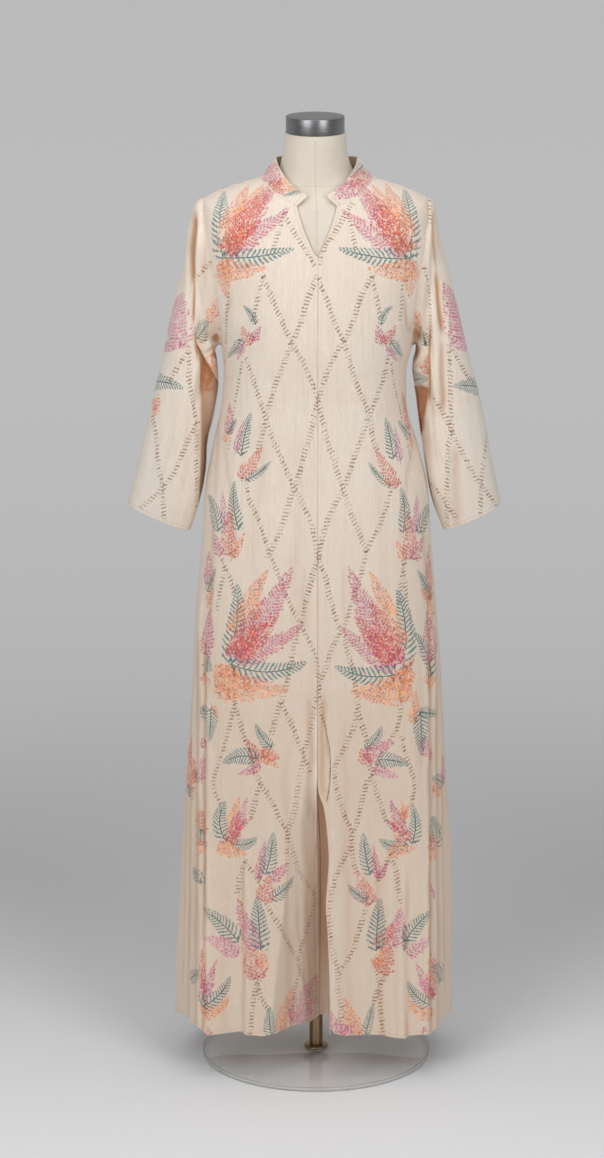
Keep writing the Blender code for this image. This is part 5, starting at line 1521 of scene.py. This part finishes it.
def front_sheet(name, sign):
    """A front panel, from the centre seam to the side seam."""
    w, limit = stations()
    inner, outer = inner_angles(w, sign)[:, None], sign * (math.pi / 2 - limit)[:, None]
    angles = inner + (outer - inner) * (np.arange(FRONT_COLUMNS + 1) / FRONT_COLUMNS) ** 1.30
    if sign < 0:
        angles = angles[:, ::-1]
    stack = np.repeat(w[:, None], angles.shape[1], axis=1)
    grid, full = eased_over(body(angles, stack), sign)
    height, shade = crease_height(grid[..., 0], grid[..., 2], FRONT_CREASES)
    still = gently(np.abs(np.degrees(angles)), 90 - np.degrees(limit)[:, None], stack)
    s, t = lengths(grid, 1), lengths(grid, 0)
    grid = grid + grid_normals(grid) * (height * still)[..., None]
    grid[..., 2] += hem_line(grid, sign)
    if sign > 0:
        inner_edge = s
        s = s + np.maximum(mouth(w), slit_x(w))[:, None]
    else:
        inner_edge = s[:, -1:] - s
        s = -inner_edge - slit_x(w)[:, None]
        # Painted light on the recess beside the pleat, more towards the hem.
        shade = shade - 0.30 * ease((grid[..., 0] + 0.065) / 0.05) * pleat_share(stack) ** 0.7
    slit = stack > SLIT_POINT - 0.004
    beside = slit & (inner_edge < t)
    edge = np.where(slit | (t < HEM_TURN), np.where(beside, inner_edge, t), 1.0)
    run = np.where(beside, t, s)
    # The creases' painted shade is softer near the seams, and painted light lies over the front of the armhole.
    shade = shade * (0.3 + 0.7 * still) - 0.34 * full
    return Sheet(name, pull_in(grid), np.stack([s, t], -1), shade=shade, edge=np.stack([edge, run], -1))


def back_sheet():
    """The back panel, its cloth coordinates measured from its centre."""
    w, limit = stations()
    first = (math.pi / 2 + limit)[:, None]
    angles = first + 2 * (math.pi - first) * (np.arange(BACK_COLUMNS + 1) / BACK_COLUMNS)
    stack = np.repeat(w[:, None], angles.shape[1], axis=1)
    grid = eased_over(eased_over(body(angles, stack), 1)[0], -1)[0]
    # The front's creases, turned about the centre plane, with their painted shade.
    height, shade = crease_height(grid[..., 0], grid[..., 2], FRONT_CREASES, flip=True)
    from_back = np.abs(np.degrees(angles) - 180)
    still = gently(from_back, 90 - np.degrees(limit)[:, None], stack)
    s, t = lengths(grid, 1), lengths(grid, 0)
    grid = grid + grid_normals(grid) * (height * still)[..., None]
    grid[..., 2] += hem_wave(angles, stack) * ease((90 - from_back) / 10)
    middle = BACK_COLUMNS // 2
    s = s[:, middle:middle + 1] - s
    edge = np.stack([np.where(t < HEM_TURN, t, 1.0), s], -1)
    return Sheet("abaya_back", pull_in(grid), np.stack([s, t], -1), shade=shade * (0.3 + 0.7 * still), edge=edge)


def behind_layers(seen, sign):
    """How many pixels each place lies behind the fold of the sleeve's front layer, and below its lower edge."""
    fold, edge = np.array(SLEEVE_LAYERS[sign]["fold"]), np.array(SLEEVE_LAYERS[sign]["edge"])
    x, y = seen[..., 0], seen[..., 1]
    return (x - np.interp(y, fold[:, 1], fold[:, 0])) * -sign, y - np.interp(x, edge[:, 0], edge[:, 1])


def sleeve_sheet(name, sign, creases):
    """A sleeve, and which of its places lie on its front."""
    count, half = SLEEVE_SIDES, SLEEVE_SIDES // 2
    order = np.arange(count) if sign > 0 else (-np.arange(count)) % count
    rings, full = eased_over(sleeve_rings(sign, SLEEVE_ROWS, count)[:, order], sign)
    phi = (2 * math.pi * np.arange(count) / count)[order]
    height, shade = crease_height(rings[..., 0], rings[..., 2], creases, SLEEVE_PLANE)
    front = np.sin(phi)[None, :]
    rows = np.arange(SLEEVE_ROWS + 1)[:, None] / SLEEVE_ROWS
    still = ease(rows / 0.04) * ease(np.abs(front) * 4)
    grid = rings + grid_normals(rings, True) * (height * still * np.where(front > 0, 1.0, 0.8))[..., None]
    seen = picture(rings)
    behind, below = behind_layers(seen, sign)
    inner = ease(behind / 1.6) * ease(below / 3.0) * (front > 0) * ease(np.abs(front) * 3)
    under = ease(behind / 2.0) * ease(1 - behind / 13.0) * ease((seen[..., 1] - 290) / 60.0) * (front > 0)
    grid[..., 1] += 0.009 * inner * ease((0.99 - rows) / 0.10)
    # Painted shade: the creases', less on the back; the inner layer darker behind the fold and below the hanging edge,
    # darkest near that edge; a band beside the fold under the arm; and over the front of the armhole.
    shade = shade * np.where(front > 0, 1.0, 0.6) * ease(np.abs(front) * 3)
    deep = 0.62 + 0.38 * ease(1 - below / 34.0) - 0.14 * ease(behind / 16.0)
    shade = np.clip(shade + inner * deep + 0.26 * under + 0.16 * full, -1, 1)
    # The cloth coordinates: along the sleeve's own axis, and round it from the outer edge, front and back alike.
    axis = unit(grid[-1].mean(axis=0) - grid[8].mean(axis=0))
    s = np.zeros(grid.shape[:2])
    natural = np.argsort(phi)
    for walk in (natural[:half + 1], np.concatenate([natural[:1], natural[:half - 1:-1]])):
        step = np.diff(grid[:, walk], axis=1)
        step = step - (step @ axis)[..., None] * axis
        s[:, walk] = np.pad(np.cumsum(np.linalg.norm(step, axis=-1), axis=1), ((0, 0), (1, 0)))
    s = s - s[:, natural[half:half + 1]] * 0.5
    from_cuff = lengths(grid[::-1], 0)[::-1]
    edge = np.stack([np.where(from_cuff < HEM_TURN, from_cuff, 1.0), s], -1)
    sheet = Sheet(name, grid, np.stack([s, -(grid @ axis)], -1), closed=True, shade=shade, edge=edge, halves=1)
    return sheet, np.repeat(front > 0.02, len(grid), axis=0)


def collar_ring(angle, end_low):
    """The upper edge of the collar over the neckline at that angle."""
    top = COLLAR_TOP
    end_high = math.radians(top["end_angle"])
    at = end_high + (np.abs(angle) - end_low) * (math.pi - end_high) / (math.pi - end_low)
    s, c = np.sin(at) * np.sign(angle), np.cos(at)
    y = top["side"] - np.where(c > 0, top["side"] - top["front"], top["back"] - top["side"]) * c
    rise = np.where(c > 0, top["z_front"] - top["z_side"], top["z_back"] - top["z_side"])
    return np.stack([top["half"] * s, y, top["z_side"] + rise * np.abs(c) ** 1.6], axis=-1)


def collar_sheet():
    """The stand collar, from its left end round the back to its right end."""
    left, right = (float(inner_angles(np.array([NECKLINE]), sign)[0]) for sign in (1, -1))
    run = np.linspace(left, 2 * math.pi - abs(right), COLLAR_COLUMNS)
    signed = np.where(run > math.pi, run - 2 * math.pi, run)
    low = body(signed, np.full_like(signed, NECKLINE))
    high = collar_ring(signed, abs(right))
    t = (np.arange(COLLAR_ROWS + 1) / COLLAR_ROWS)[:, None]
    grid = low + (high - low) * t[..., None]
    # The ends of the band are cut to a soft round corner.
    near = np.minimum(np.arange(COLLAR_COLUMNS), np.arange(COLLAR_COLUMNS)[::-1])
    grid[..., 2] += np.exp(-(near / 1.6) ** 2) * (0.0004 * (1 - t) ** 3 - 0.0018 * t ** 4)
    grid[..., 0] -= np.sign(grid[..., 0]) * 0.0014 * np.sin(math.pi * t) * np.exp(-(near / 2.5) ** 2)
    # The band is a little padded between its seams.
    grid = grid + grid_normals(grid) * (0.0008 * np.sin(math.pi * t))[..., None]
    s, up = lengths(grid, 1), lengths(grid, 0)
    s = s * (s[0, -1] / s[:, -1:])
    edge = np.minimum(up[-1] - up, np.minimum(s, s[:, -1:] - s))
    return Sheet("abaya_collar", grid, np.stack([s, up], -1), edge=np.stack([edge, s], -1), halves=1)


def pleat_sheet():
    """The gore behind the mouth of the front pleat."""
    rows = []
    for w in HEM + (MOUTH_TOP - HEM) * np.arange(PLEAT_ROWS + 1) / PLEAT_ROWS:
        at = np.array([w])
        left, right = (body(angle_at(centre(at) + wide, at, 1), at)[0] for wide in (0.0, mouth(at)))
        deep, width = pleat_share(w) * PLEAT_DEPTH, right[0] - left[0]
        start = np.array([left[0] + 0.0007, left[1] + 0.0002, w])
        corner = np.array([right[0] - 0.10 * width, left[1] + 0.0020, w])
        front = np.array([right[0] - 0.0004, right[1] + CAD_WALL + 0.0006, w])
        bend = corner + [0.06 * width, -0.10 * deep, 0]
        knots = np.array([start, start + (corner - start) * 0.5, corner - [0.12 * width, 0, 0], bend,
                          bend + (front - bend) * 0.5, front])
        step = np.r_[0, np.cumsum(np.linalg.norm(np.diff(knots, axis=0), axis=1))]
        fine = np.linspace(0, step[-1], PLEAT_COLUMNS)
        rows.append(np.column_stack([np.interp(fine, step, knots[:, k]) for k in range(3)]))
    grid = np.array(rows)
    s, t = lengths(grid, 1), lengths(grid, 0)
    # Painted shade over the gore, darkest along its middle and lighter near the hem.
    shade = 1.0 - 0.35 * np.abs(np.linspace(-1, 1, PLEAT_COLUMNS))
    shade = shade * (0.25 + 0.75 * ease((grid[..., 2] - 0.10) / 0.16))
    edge = np.stack([np.where(t < HEM_TURN, t, 1.0), s], -1)
    return Sheet("abaya_pleat", grid, np.stack([s, t], -1), shade=shade, edge=edge, halves=1)


def finish_sheet(sheet, node, material):
    """Builds a sheet in the place of that node, and works out how large its cloth is."""
    made = sheet.build(material)
    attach(made, "root")
    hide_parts(node)
    wide = float(lengths(sheet.grid, 1)[:, -1].max())
    if sheet.closed:
        ring = np.linalg.norm(np.roll(sheet.grid, -1, axis=1) - sheet.grid, axis=-1).sum(axis=1)
        wide = float(ring.max())
    long_ = float(lengths(sheet.grid, 0)[-1].max())
    round(min(sheet.area(), wide * long_ * 0.999), 5)


def make_garment():
    """The cut pieces of the abaya, printed, each in the place of its solid."""
    printed = cotton(frond_group(), dash_group())
    left, right, back = front_sheet("abaya_front_left", 1), front_sheet("abaya_front_right", -1), back_sheet()
    fronds, lines = print_on(left, FRONT_FRONDS, FRONT_LINES)
    print_on(right, FRONT_FRONDS, FRONT_LINES)
    # The back has the layout of the front's left half on both sides of its centre.
    for side in (1.0, -1.0):
        for frond in fronds:
            back.put_frond(**{**frond, "path": frond["path"] * [side, 1.0]})
        for line in lines:
            back.put_dashes(**{**line, "path": line["path"] * [side, 1.0]})
    sleeve_left, left_front = sleeve_sheet("abaya_sleeve_left", 1, LEFT_SLEEVE_CREASES)
    sleeve_right, right_front = sleeve_sheet("abaya_sleeve_right", -1, RIGHT_SLEEVE_CREASES)
    print_on(sleeve_left, LEFT_SLEEVE_FRONDS, LEFT_SLEEVE_LINES, left_front)
    print_on(sleeve_right, RIGHT_SLEEVE_FRONDS, RIGHT_SLEEVE_LINES, right_front)
    collar = collar_sheet()
    whole = float(collar.st[0, :, 0].max())
    share = np.linspace(0, 1, 7)[:, None]
    for motifs, from_end in zip(COLLAR_FRONDS, (True, False)):
        for *places, half, ink in motifs:
            root, tip = np.array(places[:2]), np.array(places[2:])
            track = root * (1 - share) + tip * share
            if from_end:
                track[:, 0] = whole - track[:, 0]
            collar.put_frond(track, float(np.hypot(*(tip - root))), half, ink, COLLAR_PITCH)
    pleat = pleat_sheet()
    for sheet, node, rests_on in (
            (left, "front_left", "form_torso"), (right, "front_right", "form_torso"),
            (back, "back_panel", "form_torso"), (sleeve_left, "sleeve_left", "abaya_front_left"),
            (sleeve_right, "sleeve_right", "abaya_front_right"), (collar, "collar_band", "abaya_front_left"),
            (pleat, "front_pleat", "abaya_front_left")):
        finish_sheet(sheet, node, printed)


make_stage()
make_form()
make_garment()
